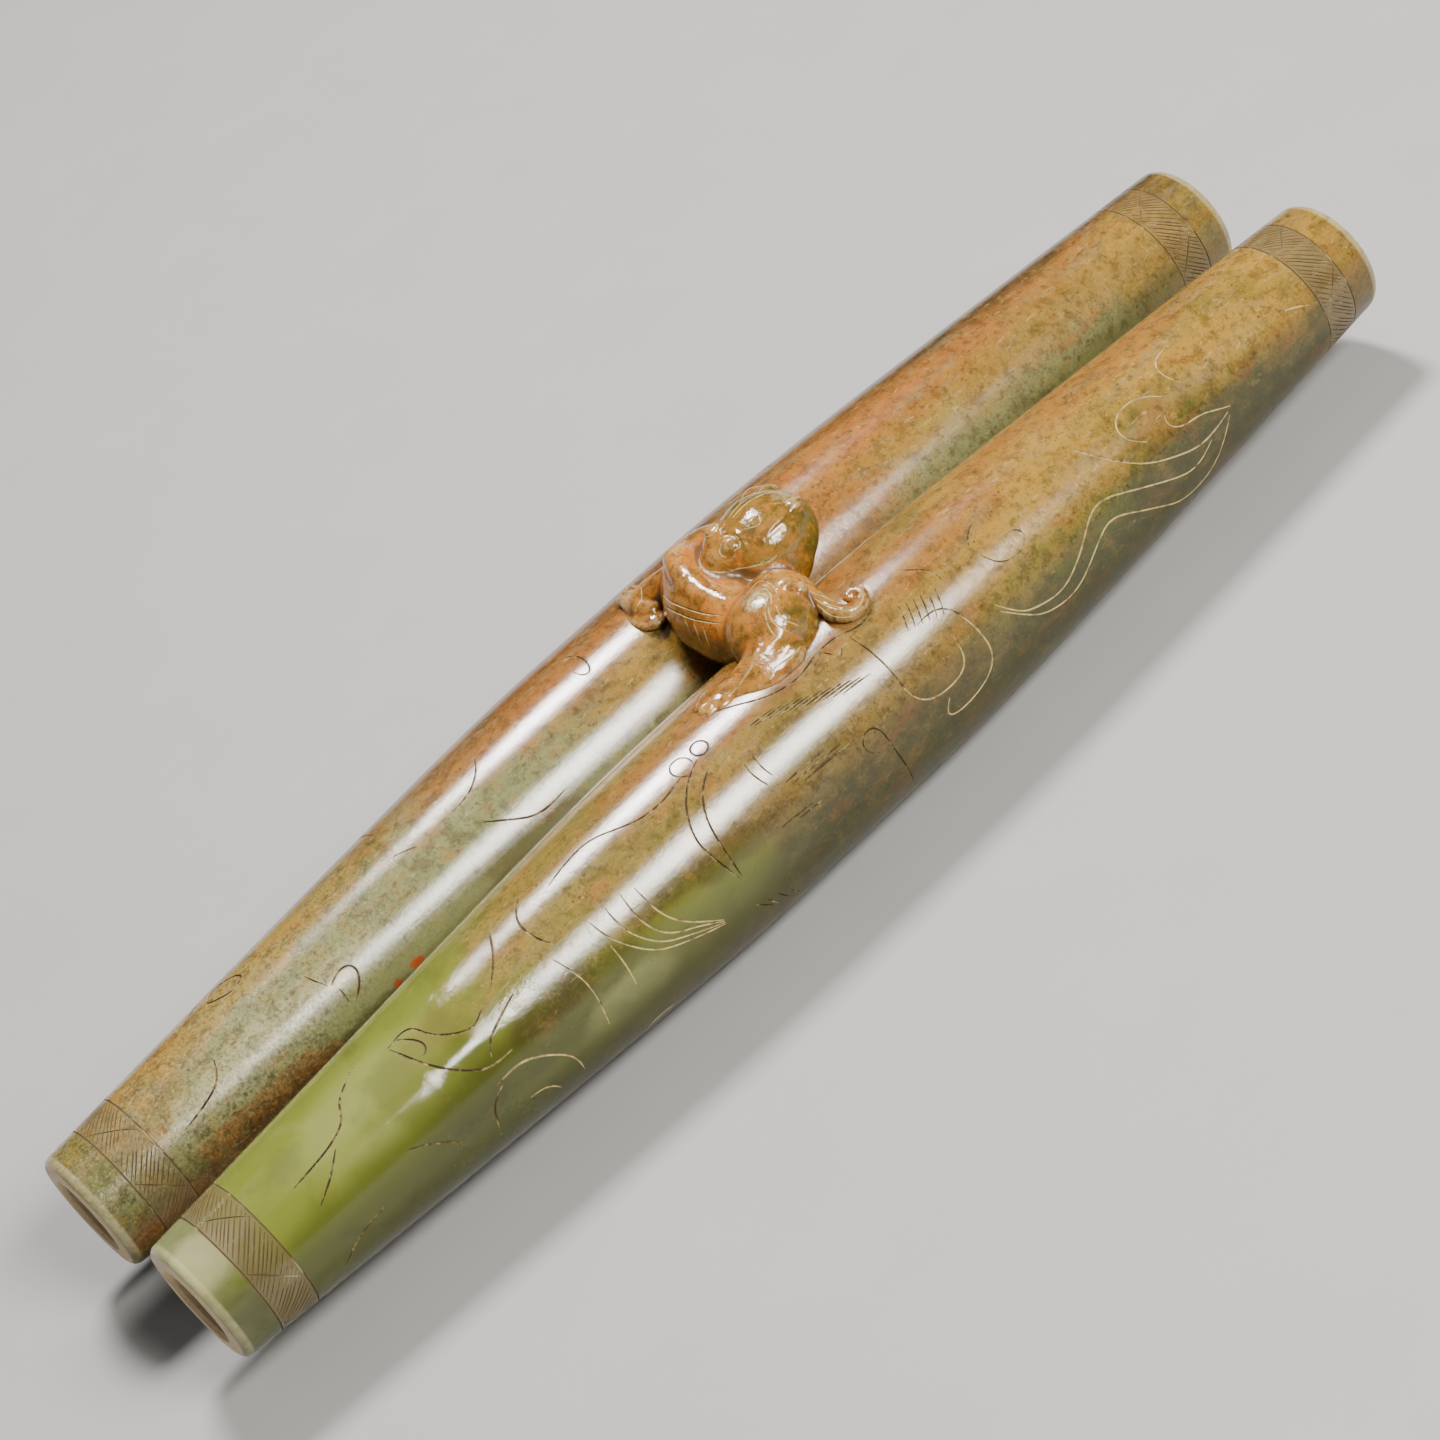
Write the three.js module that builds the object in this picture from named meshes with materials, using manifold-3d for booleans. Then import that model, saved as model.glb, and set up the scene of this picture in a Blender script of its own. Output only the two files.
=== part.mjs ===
// Carved jade double tube: two bored, barrel-shaped tubes side by side, tied by a crouching beast
// that lies across both of them with its head turned back.
// Millimetres, +Z up. X runs along the tubes and Y across them. The origin lies under the middle of
// the pair, on the surface that both tubes rest on.
import * as THREE from "three";
import { mergeVertices } from "three/addons/utils/BufferGeometryUtils.js";
import Module from "manifold-3d";

const wasm = await Module();
wasm.setup();

// Tubes
const TUBE_LENGTH = 162;
const MID_RADIUS = 11;
const END_RADIUS = 6.8;
const STRAIGHT_LENGTH = 20; // middle stretch of one radius, which the part rests on
const TAPER_EASE = 15; // how gently the straight stretch turns into the taper
const LIP_RADIUS = 1; // round edge of each end
const BORE_RADIUS = 4.1;
const MOUTH_BEVEL = 0.4; // small bevel where the bore meets each end face

// Joints between the pieces
const BEDDING_DEPTH = 0.2; // depth of the ground flat where the tubes meet
const SETTING_GAP = 0.3; // room for the setting resin in every joint

// Beast: masses are placed along the tubes, inwards from a tube's axis or across from the middle,
// and above the crest of the tubes. Sizes are half extents along, across and up.
const HAUNCH = { along: 4.2, inward: 2.1, above: 0.5, size: [4.9, 4.5, 4.4] };
const RUMP = { along: 6.6, inward: 3.6, above: 0.4, size: [4.2, 4.4, 4] };
const LOIN = { along: 3.9, across: -3.4, above: 0.5, size: [5, 5, 4.7] };
const RIBS = { along: 4.7, inward: 9, above: 0.5, size: [5.6, 5.4, 4.7] };
const CHEST = { along: 8, inward: 3.2, above: -0.6, size: [6.2, 4.6, 3.6] };
const HEAD = { along: 12, across: 0.8, above: 2.4, size: [5.8, 5.3, 4.9] };
const BROW = { along: 9.2, across: 2, above: 4, size: [3, 3, 2.2] };
const MUZZLE = { along: 8, across: 1.6, above: 1.9, size: [2.7, 2.9, 2.4] };
const NEAR_EAR = { along: 11.2, across: -1.5, above: 5.9, size: [1.6, 1.1, 1.3] };
const FAR_EAR = { along: 15, across: 1.6, above: 5.7, size: [1.6, 1.1, 1.3] };
const NECK_RADIUS = 3.2;

// Beast: limbs. Each runs through its own points, given as the masses are, over one of the tubes.
const FORELEG_RADIUS = 2.1;
const FOREPAW = { inward: 1.2, above: 0.3, size: [1.9, 3.2, 1.5] };
const FORE_ELBOW_ABOVE = 0.9;
const NEAR_FOREPAW_ALONG = 0.9;
const NEAR_ELBOW_ALONG = 4;
const FAR_FOREPAW_ALONG = 18.4;
const FAR_ELBOW_ALONG = 13;
const KNEE = { along: -0.6, inward: -0.4, above: 0.2, radius: 2 };
const HOCK = { along: -3.6, inward: 0.3, above: 0.1, radius: 1.3 };
const HIND_FOOT = { along: -5.8, inward: 0.6, above: 0.2, size: [2.2, 1.7, 1.2] };
const TAIL_RADIUS = 1.05;
const TAIL_ROUTE = [
  { along: 6.4, inward: 2.4, above: 2.4 },
  { along: 7.8, inward: 0, above: 1.3 },
  { along: 8.6, inward: -2.2, above: 0.3 },
  { along: 10, inward: -3.8, above: -0.1 },
  { along: 11.8, inward: -3.6, above: 0 },
  { along: 12.3, inward: -2.3, above: 0.4 },
];

// Polished stone of each piece
const FRONT_JADE = { color: 0x8a8a3a, roughness: 0.2, metalness: 0 };
const REAR_JADE = { color: 0x9a7c48, roughness: 0.22, metalness: 0 };
const BEAST_JADE = { color: 0xa05a24, roughness: 0.22, metalness: 0 };

// Fineness of the round forms
const TUBE_SIDES = 40;
const TAPER_STEPS = 8;
const LIP_STEPS = 3;
const MASS_SIDES = 14;
const MASS_RINGS = 9;
const CAP_STEPS = 4;
const TAIL_SIDES = 8;
const TAIL_STEPS = 18;
const SAME_POINT = 1e-4; // corners closer than this are one corner

// Sides of the pair, as signs of Y
const FRONT = -1;
const REAR = 1;

// Worked out from the sizes above
const HALF_LENGTH = TUBE_LENGTH / 2;
const AXIS_HEIGHT = MID_RADIUS;
const CREST = 2 * MID_RADIUS;
const AXIS_OFFSET = MID_RADIUS - BEDDING_DEPTH + SETTING_GAP / 2;

// A closed geometry as a solid that can be joined and cut.
function solid(geometry) {
  const bare = geometry.clone();
  bare.deleteAttribute("normal");
  bare.deleteAttribute("uv");
  const merged = mergeVertices(bare, SAME_POINT);
  const corners = merged.index.array;
  const triangles = [];
  for (let i = 0; i < corners.length; i += 3) {
    const [a, b, c] = [corners[i], corners[i + 1], corners[i + 2]];
    if (a !== b && b !== c && c !== a) triangles.push(a, b, c);
  }
  return new wasm.Manifold(
    new wasm.Mesh({
      numProp: 3,
      vertProperties: new Float32Array(merged.attributes.position.array),
      triVerts: new Uint32Array(triangles),
    }),
  );
}

// A solid as a named mesh with its own stone.
function piece(name, body, look) {
  const { vertProperties, triVerts } = body.getMesh();
  const geometry = new THREE.BufferGeometry();
  geometry.setAttribute("position", new THREE.BufferAttribute(new Float32Array(vertProperties), 3));
  geometry.setIndex(new THREE.BufferAttribute(new Uint32Array(triVerts), 1));
  geometry.computeVertexNormals();
  const mesh = new THREE.Mesh(geometry, new THREE.MeshStandardMaterial(look));
  mesh.name = name;
  return mesh;
}

// Drop from the middle radius, for a distance past the straight stretch, before it is scaled.
function easedTaper(distance) {
  return Math.hypot(distance, TAPER_EASE) - TAPER_EASE;
}

// Radius of a tube at a place along it.
function tubeRadius(along) {
  const start = STRAIGHT_LENGTH / 2;
  const past = Math.max(Math.abs(along) - start, 0);
  return MID_RADIUS - ((MID_RADIUS - END_RADIUS) * easedTaper(past)) / easedTaper(HALF_LENGTH - start);
}

// Outside of a tube from its middle out to the far rim, as points of radius and place along it.
function halfProfile(extra) {
  const start = STRAIGHT_LENGTH / 2;
  const lipStart = HALF_LENGTH - LIP_RADIUS;
  const points = [];
  for (let i = 0; i <= TAPER_STEPS; i += 1) {
    const along = start + ((lipStart - start) * i) / TAPER_STEPS;
    points.push(new THREE.Vector2(tubeRadius(along) + extra, along));
  }
  const lipCentre = tubeRadius(lipStart) - LIP_RADIUS;
  for (let i = 1; i <= LIP_STEPS; i += 1) {
    const turn = (i * Math.PI) / 2 / LIP_STEPS;
    const radius = lipCentre + LIP_RADIUS * Math.cos(turn) + extra;
    points.push(new THREE.Vector2(radius, lipStart + LIP_RADIUS * Math.sin(turn)));
  }
  return points;
}

// Outside of a whole tube, from its near rim to its far rim.
function fullProfile(extra) {
  const far = halfProfile(extra);
  const near = far.map((point) => new THREE.Vector2(point.x, -point.y)).reverse();
  return [...near, ...far];
}

// A profile turned about the axis of the front or the rear tube, which lies along X.
function turned(profile, side) {
  const geometry = new THREE.LatheGeometry(profile, TUBE_SIDES);
  geometry.rotateZ(-Math.PI / 2);
  geometry.translate(0, side * AXIS_OFFSET, AXIS_HEIGHT);
  return solid(geometry);
}

// A bored tube with a narrow flat ground on its inner side.
function tube(side) {
  const profile = fullProfile(0);
  const bore = [
    new THREE.Vector2(BORE_RADIUS + MOUTH_BEVEL, HALF_LENGTH),
    new THREE.Vector2(BORE_RADIUS, HALF_LENGTH - MOUTH_BEVEL),
    new THREE.Vector2(BORE_RADIUS, MOUTH_BEVEL - HALF_LENGTH),
    new THREE.Vector2(BORE_RADIUS + MOUTH_BEVEL, -HALF_LENGTH),
  ];
  const body = turned([...profile, ...bore, profile[0]], side);
  const waste = new THREE.BoxGeometry(TUBE_LENGTH, MID_RADIUS, CREST);
  waste.translate(0, (side * (SETTING_GAP - MID_RADIUS)) / 2, AXIS_HEIGHT);
  return body.subtract(solid(waste));
}

// The space a tube takes out of the beast: the tube's outside with the setting gap round it.
function seat(side) {
  const profile = fullProfile(SETTING_GAP);
  const nearAxis = new THREE.Vector2(0, -HALF_LENGTH);
  const farAxis = new THREE.Vector2(0, HALF_LENGTH);
  return turned([nearAxis, ...profile, farAxis], side);
}

// A spot over the front tube, over the rear tube, or over the valley between them.
function overFront({ along, inward, above }) {
  return new THREE.Vector3(along, inward - AXIS_OFFSET, CREST + above);
}
function overRear({ along, inward, above }) {
  return new THREE.Vector3(along, AXIS_OFFSET - inward, CREST + above);
}
function overValley({ along, across, above }) {
  return new THREE.Vector3(along, across, CREST + above);
}

// A rounded mass of the given half extents.
function mass(centre, size) {
  const geometry = new THREE.SphereGeometry(1, MASS_SIDES, MASS_RINGS);
  geometry.scale(...size);
  geometry.translate(...centre);
  return solid(geometry);
}

// A tapering limb with round ends.
function limb(from, to, startRadius, endRadius) {
  const length = from.distanceTo(to);
  const profile = [new THREE.Vector2(0, -startRadius)];
  for (let i = 1 - CAP_STEPS; i <= 0; i += 1) {
    const turn = (i * Math.PI) / 2 / CAP_STEPS;
    profile.push(new THREE.Vector2(startRadius * Math.cos(turn), startRadius * Math.sin(turn)));
  }
  for (let i = 0; i < CAP_STEPS; i += 1) {
    const turn = (i * Math.PI) / 2 / CAP_STEPS;
    profile.push(new THREE.Vector2(endRadius * Math.cos(turn), length + endRadius * Math.sin(turn)));
  }
  profile.push(new THREE.Vector2(0, length + endRadius));
  const geometry = new THREE.LatheGeometry(profile, MASS_SIDES);
  const heading = to.clone().sub(from).normalize();
  const turn = new THREE.Quaternion().setFromUnitVectors(new THREE.Vector3(0, 1, 0), heading);
  geometry.applyQuaternion(turn);
  geometry.translate(...from);
  return solid(geometry);
}

// The tail: a round cord of stone that leaves the rump and curls on the front tube.
function tail() {
  const route = new THREE.CatmullRomCurve3(TAIL_ROUTE.map(overFront));
  const section = new THREE.Shape().absarc(0, 0, TAIL_RADIUS, 0, 2 * Math.PI);
  const cord = new THREE.ExtrudeGeometry(section, {
    steps: TAIL_STEPS,
    curveSegments: TAIL_SIDES,
    extrudePath: route,
  });
  const tip = route.getPoint(1);
  return solid(cord).add(mass(tip, [TAIL_RADIUS, TAIL_RADIUS, TAIL_RADIUS]));
}

// A foreleg from its elbow down to a paw on the crest of the rear tube.
function foreleg(elbowAlong, pawAlong) {
  const elbow = overRear({ along: elbowAlong, inward: CHEST.inward, above: FORE_ELBOW_ABOVE });
  const paw = overRear({ along: pawAlong, inward: FOREPAW.inward, above: FOREPAW.above });
  return limb(elbow, paw, FORELEG_RADIUS, FOREPAW.size[2]).add(mass(paw, FOREPAW.size));
}

// The hind leg, folded low along the crest of the front tube.
function hindLeg() {
  const hip = overFront(HAUNCH);
  const knee = overFront(KNEE);
  const hock = overFront(HOCK);
  const foot = overFront(HIND_FOOT);
  return limb(hip, knee, HAUNCH.size[2] - KNEE.radius / 2, KNEE.radius)
    .add(limb(knee, hock, KNEE.radius, HOCK.radius))
    .add(limb(hock, foot, HOCK.radius, HIND_FOOT.size[2]))
    .add(mass(foot, HIND_FOOT.size));
}

// The beast: one carved figure, ground underneath to the curve of both tubes.
function beast() {
  const trunk = mass(overFront(HAUNCH), HAUNCH.size)
    .add(mass(overFront(RUMP), RUMP.size))
    .add(mass(overValley(LOIN), LOIN.size))
    .add(mass(overRear(RIBS), RIBS.size))
    .add(mass(overRear(CHEST), CHEST.size));
  const neck = limb(overRear(CHEST), overValley(HEAD), NECK_RADIUS, NECK_RADIUS);
  const head = mass(overValley(HEAD), HEAD.size)
    .add(mass(overValley(BROW), BROW.size))
    .add(mass(overValley(MUZZLE), MUZZLE.size))
    .add(mass(overValley(NEAR_EAR), NEAR_EAR.size))
    .add(mass(overValley(FAR_EAR), FAR_EAR.size));
  return trunk
    .add(neck)
    .add(head)
    .add(foreleg(NEAR_ELBOW_ALONG, NEAR_FOREPAW_ALONG))
    .add(foreleg(FAR_ELBOW_ALONG, FAR_FOREPAW_ALONG))
    .add(hindLeg())
    .add(tail())
    .subtract(seat(FRONT))
    .subtract(seat(REAR));
}

const doubleTube = new THREE.Group();
doubleTube.add(piece("front_tube", tube(FRONT), FRONT_JADE));
doubleTube.add(piece("rear_tube", tube(REAR), REAR_JADE));
doubleTube.add(piece("beast", beast(), BEAST_JADE));

export default doubleTube;
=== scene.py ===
"""Carved jade double tube: two bored jade tubes side by side, bridged by a crouching beast."""
import math

import bpy
import numpy as np
from bpy.props import FloatProperty, FloatVectorProperty, PointerProperty
from mathutils import Matrix, Vector


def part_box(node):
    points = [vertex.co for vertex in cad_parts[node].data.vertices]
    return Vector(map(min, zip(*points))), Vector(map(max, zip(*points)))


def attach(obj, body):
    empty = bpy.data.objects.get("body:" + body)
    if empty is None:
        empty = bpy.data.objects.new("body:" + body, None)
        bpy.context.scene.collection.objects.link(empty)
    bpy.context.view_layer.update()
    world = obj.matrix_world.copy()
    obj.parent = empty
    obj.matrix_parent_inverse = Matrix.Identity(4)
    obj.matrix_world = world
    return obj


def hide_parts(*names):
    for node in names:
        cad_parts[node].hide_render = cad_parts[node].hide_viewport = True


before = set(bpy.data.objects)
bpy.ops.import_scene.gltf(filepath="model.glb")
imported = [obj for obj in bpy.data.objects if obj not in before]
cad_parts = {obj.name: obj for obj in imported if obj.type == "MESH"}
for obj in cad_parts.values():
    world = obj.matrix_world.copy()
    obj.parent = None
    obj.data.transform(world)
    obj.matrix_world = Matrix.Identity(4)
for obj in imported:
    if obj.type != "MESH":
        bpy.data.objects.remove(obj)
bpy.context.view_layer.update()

bl_info = {
    "name": "Carved jade double tube",
    "version": (1, 0, 0),
    "blender": (4, 5, 0),
    "location": "3D View > Sidebar > Double tube",
    "description": "Two bored jade tubes with cut scrolls, bridged by a carved beast",
    "category": "Object",
}

# The frame, in metres
FRONT_LOW, FRONT_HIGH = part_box("front_tube")
REAR_LOW, REAR_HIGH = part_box("rear_tube")
TUBE_LENGTH = FRONT_HIGH[0] - FRONT_LOW[0]
MID_RADIUS = (FRONT_HIGH[2] - FRONT_LOW[2]) / 2
AXIS_HEIGHT = FRONT_LOW[2] + MID_RADIUS
FRONT_AXIS = FRONT_LOW[1] + MID_RADIUS
REAR_AXIS = REAR_HIGH[1] - MID_RADIUS
BODY = "root"

# Units and fineness of the tubes
MM = 0.001
TUBE_SIDES = 96
TAPER_STEPS = 34
MIDDLE_STEPS = 4
LIP_STEPS = 6
BORE_STEPS = 6
SAME_POINT = 1e-6
TUBE_SMOOTH_ANGLE = math.radians(32)
POLISH_DEPTH = 0.02 * MM  # how far a point of the polished outside may lie off its true form
POLISH_FACING = 0.98  # how well it has to face the same way

# Fineness of the cut lines
STROKE_STEP = 0.45  # millimetres between the points of a line
EASE_ROUNDS = 10  # rounds that ease the line
ARC_STEP = 30  # degrees between the points of a round line
ARC_FEWEST = 4
RING_STEP = 24  # degrees between the points of a ring round a tube
LAYER_CELL = 0.42 * MM  # lines that share such a cell are cut one after the other
POINTED = 4  # points at each end of a line over which it thins
BLUNT = 0.45  # share of the width that is left at the very end

# Places of the materials on a tube
STONE, LINE, EARTH = 0, 1, 2


def size(name, description, default):
    """A length that a user can change, in metres."""
    return FloatProperty(
        name=name, description=description, default=default, min=0, unit="LENGTH", precision=5
    )


def colour(name, description, default):
    """A linear colour that a user can change."""
    return FloatVectorProperty(
        name=name, description=description, default=default, size=3, min=0, max=1, subtype="COLOR"
    )


class TubeSizes(bpy.types.PropertyGroup):
    """Sizes of both tubes and of what is cut in them."""

    length: size("Length", "From end face to end face", TUBE_LENGTH)
    mid_radius: size("Middle radius", "Radius of the straight middle stretch", MID_RADIUS)
    end_radius: size("End radius", "Radius at the ends, before the lip is rounded", 6.8 * MM)
    straight: size("Straight stretch", "Length of the middle stretch of one radius", 20 * MM)
    ease: size("Taper ease", "How gently the straight stretch turns into the taper", 15 * MM)
    lip: size("Lip", "Radius of the rounded edge of each end", 1 * MM)
    bore: size("Bore", "Radius of the bore", 4.1 * MM)
    mouth: size("Mouth bevel", "Bevel where the bore meets each end face", 0.4 * MM)
    collar: size("Collar", "Plain collar between the end face and the outer ring", 4.3 * MM)
    band: size("Band", "Hatched band between the two rings", 4.3 * MM)
    line: size("Line width", "Width of the fine cut lines", 0.2 * MM)
    heavy: size("Heavy line width", "Width of the heavy cut lines", 0.26 * MM)
    hatch: size("Hatch width", "Width of the hatch lines and of the two rings", 0.18 * MM)


class BeastSizes(bpy.types.PropertyGroup):
    """Sizes of the finish of the beast."""

    grain: size("Grain", "Size of the cells that its forms are blended in", 0.15 * MM)
    line: size("Line width", "Width of the carved lines", 0.22 * MM)
    seat: size("Seat gap", "Gap between its underside and the tubes", 0.02 * MM)


class JadeColours(bpy.types.PropertyGroup):
    """Colours of the stone, its stains and its cut lines."""

    yellow_green: colour("Yellow green", "Clear stone at the near end", (0.13, 0.15, 0.021))
    milk: colour("Milk", "Milky patches in the clear stone", (0.3, 0.315, 0.12))
    olive: colour("Olive", "Deep green stone", (0.06, 0.064, 0.008))
    tan: colour("Tan", "Stained stone of the middle", (0.19, 0.118, 0.024))
    ochre: colour("Ochre", "Stained stone of the far end", (0.26, 0.152, 0.024))
    russet: colour("Russet", "Strong iron stain", (0.23, 0.078, 0.014))
    ember: colour("Ember", "Brightest iron stain", (0.42, 0.13, 0.015))
    spark: colour("Spark", "Small red spots in the crease", (0.34, 0.05, 0.008))
    celadon: colour("Celadon", "Grey green stone of the rear tube", (0.165, 0.178, 0.078))
    rust: colour("Rust", "Deeper stone of the beast", (0.185, 0.07, 0.011))
    amber: colour("Amber", "Lighter stone of the beast", (0.31, 0.142, 0.025))
    dusk: colour("Dusk", "Greyish streaks in the stained stone", (0.17, 0.125, 0.055))
    # Depth is multiplied onto the stone low down: painted shade, partly the stone's own deeper tone
    depth: colour("Depth", "Tone that the stone takes on low down", (0.36, 0.36, 0.2))
    fawn: colour("Fawn", "Dry ground of the hatched bands", (0.115, 0.082, 0.036))
    husk: colour("Husk", "Pale grains and worn edges", (0.43, 0.39, 0.22))
    umber: colour("Umber", "Brown residue in the hatched bands", (0.065, 0.042, 0.018))
    bark: colour("Bark", "Dark brown of specks and grains", (0.045, 0.028, 0.008))
    cream: colour("Cream", "Pale residue in the cut lines", (0.4, 0.315, 0.135))
    # Moss: partly dark residue, partly painted shade in the grooves
    moss: colour("Moss", "Dark residue in the cut lines", (0.036, 0.02, 0.006))
    earth: colour("Earth", "Dry earth on the end faces and in the bores", (0.6, 0.46, 0.27))


class DoubleTube(bpy.types.PropertyGroup):
    """Everything that a user can change."""

    tube: PointerProperty(type=TubeSizes, name="Tubes")
    beast: PointerProperty(type=BeastSizes, name="Beast")
    jade: PointerProperty(type=JadeColours, name="Jade")


def settings():
    """The settings of this scene."""
    return bpy.context.scene.double_tube


# Cut lines of the tubes. A line runs through points given as millimetres along the tube from its
# middle and degrees round it, from its crest towards the front.
def arc(along, around, radius, start=0, sweep=360):
    """Points of a round line with a radius in millimetres, from a start angle through a sweep."""
    turn = math.degrees(radius * MM / MID_RADIUS)
    count = max(ARC_FEWEST, round(abs(sweep) / ARC_STEP))
    angles = [math.radians(start + sweep * i / count) for i in range(count + 1)]
    return [(along + radius * math.cos(a), around + turn * math.sin(a)) for a in angles]


def moved(lines, along=0, around=0, flip=1):
    """Copies of lines moved along and round the tube, and mirrored along it where flip is -1."""
    return [[(flip * x + along, turn + around) for x, turn in line] for line in lines]


RINGS_AND_STEM = [
    arc(-10.9, 15.5, 0.9),
    arc(-13.6, 16.5, 1.35, 100, 300),
    [(-14.5, 21), (-17.5, 24), (-20.5, 22), (-23, 15), (-25, 9), (-28, 9), (-31, 12)],
    [(-12, 20), (-13.5, 23), (-15.5, 30), (-17, 39), (-18, 50), (-18, 61), (-17, 81)],
    [(-12, 28), (-13.5, 32), (-15.5, 43), (-16.5, 60), (-16.7, 81)],
    [(-9.3, 39), (-9.6, 46), (-9, 55)],
    [(-8.1, 39), (-8.4, 46), (-8, 53)],
]
FEATHERS = [
    [(-31, 44), (-30.6, 58), (-28, 79), (-24.5, 89), (-20.5, 97)],
    [(-29, 44), (-29, 60), (-27, 78), (-24, 87), (-20.5, 96)],
    [(-27, 44), (-27.3, 61), (-26, 77), (-23, 86), (-20.5, 95)],
    [(-25.6, 47), (-25.4, 64), (-24, 78), (-20.5, 94)],
    [(-36, 45), (-35, 68), (-35.5, 97)],
    [(-31, 61), (-31, 76), (-31.3, 92)],
]
CLOUD = [
    [(-52.7, 13), (-50, 12), (-49, 29), (-46, 43), (-44.2, 38)],
    [(-52.7, 15), (-51.6, 36), (-50, 52), (-47.5, 66), (-44.5, 67)],
    [(-51.6, 13), (-50.7, 19), (-50, 28), (-50.2, 34), (-51, 34)],
    [(-48, 78), (-44.7, 76), (-42, 85), (-40, 98), (-39.6, 114)],
    [(-47.3, 80), (-49.2, 87), (-49.7, 106)],
    [(-45.6, 101), (-43.6, 102), (-42.5, 113)],
    [(-41, 44), (-45.6, 54), (-46.4, 62)],
]
SPRIGS = [
    [(-33.6, 2), (-35.6, 14), (-35.7, 30), (-34.8, 40)],
    [(-38, 5), (-39.6, 20), (-42.3, 34)],
    [(-58, 70), (-55.6, 79), (-53.3, 93)],
    [(-32, 131), (-30.3, 125), (-28.3, 127)],
]
NEAR_VINE = [
    [(-55.7, 1), (-59.6, 16), (-60.4, 27), (-63, 34), (-68, 38)],
    [(-62.8, 38), (-65, 50), (-67.3, 59)],
    [(-68.7, 111), (-66.4, 97), (-62.4, 90)],
]
NICKS = [
    [(4.9, 21), (4.5, 23), (4.1, 25)],
    [(6.4, 29), (6.0, 31), (5.7, 32)],
    [(2.6, 26), (3.0, 27), (3.8, 25)],
    [(4.8, 24), (5.0, 26), (5.2, 28)],
    [(-16.9, 101), (-16, 107), (-15.1, 112)],
    [(-15.5, 105), (-14.9, 110), (-14.3, 115)],
    [(-14.2, 107), (-13.7, 112), (-13.2, 116)],
    [(-12.7, 113), (-12.2, 117), (-11.8, 121)],
]
BEAST_GROUND = [
    [(-7, 4), (-4.7, 12), (-2.8, 20), (1, 25), (3.5, 22), (6.3, 21), (8, 24), (9.6, 27), (11.6, 24)],
]
NAPE_CURLS = [
    [(2.2, 83), (1.2, 82), (0.7, 77), (1.2, 71), (2.2, 68), (3.5, 71), (3.7, 88), (4.6, 119)],
    [(7.8, 28), (8.2, 51), (8.1, 70), (9.1, 79), (11, 83), (13.6, 83), (15.2, 79), (15.6, 64)],
    [
        (13.5, 47), (15, 46), (17, 50), (18.1, 69), (18.1, 88), (15.8, 98), (11.7, 100), (10.4, 95),
        (11.6, 88),
    ],
    [(12, 61), (12.7, 57), (14, 56), (15.3, 58)],
    [(16.7, 17), (17.7, 24), (19, 30), (18.8, 38)],
]
EYE_CURL = [
    [(26, 25), (24.5, 28), (23.4, 34), (23.2, 38)],
    [(26.6, 46), (27, 42), (28.4, 43), (29, 49), (28, 55), (25.6, 56), (24, 49), (23.6, 41)],
]
STREAMERS = [
    [(39, 30), (41.4, 52), (44.3, 69), (47.7, 80), (51, 88), (53.5, 88), (55.9, 85)],
    [
        (21.2, 67), (23.5, 82), (26, 87), (28.6, 90), (32, 82), (35.7, 68), (38.2, 67), (43.4, 82),
        (49.3, 99), (52.6, 92),
    ],
    [
        (21.3, 72), (25, 91), (28, 97), (30.7, 97), (35.6, 82), (38, 80), (43.5, 100), (47.2, 115),
        (51.5, 116), (56, 88),
    ],
    [(49.5, 55), (48.8, 60), (49.6, 67), (51, 70), (53, 71), (54.4, 76), (56.6, 83)],
    [(50.8, 45), (49.5, 37), (48, 33), (46, 33), (44.4, 39), (44.3, 50), (46, 60)],
    [(55.5, 20), (53.5, 22), (52.6, 33), (53.5, 46)],
    [(67.8, 58), (69.6, 63), (71.2, 70)],
]


def hairs(along, around, count, shift, turn, middle, end):
    """A row of short hair strokes, each one shifted and turned from the last."""
    lines = []
    for i in range(count):
        x, side = along + shift * i, around + turn * i
        lines.append([(x + step, side + rise) for step, rise in ((0, 0), middle, end)])
    return lines


HAIRS = (
    hairs(-6.5, 26, 11, 0.95, 2.1, (1.7, 0.6), (3.4, 1.8))
    + hairs(-7.5, 60, 3, 0.8, 3, (3, 0.6), (6, 1.8))
    + hairs(-10.5, 76, 2, 1.6, 3, (2, 0.6), (4, 1.8))
    + hairs(13.6, 33, 6, 0.8, 1.2, (-0.5, 6.5), (-1.2, 13))
)

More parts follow.
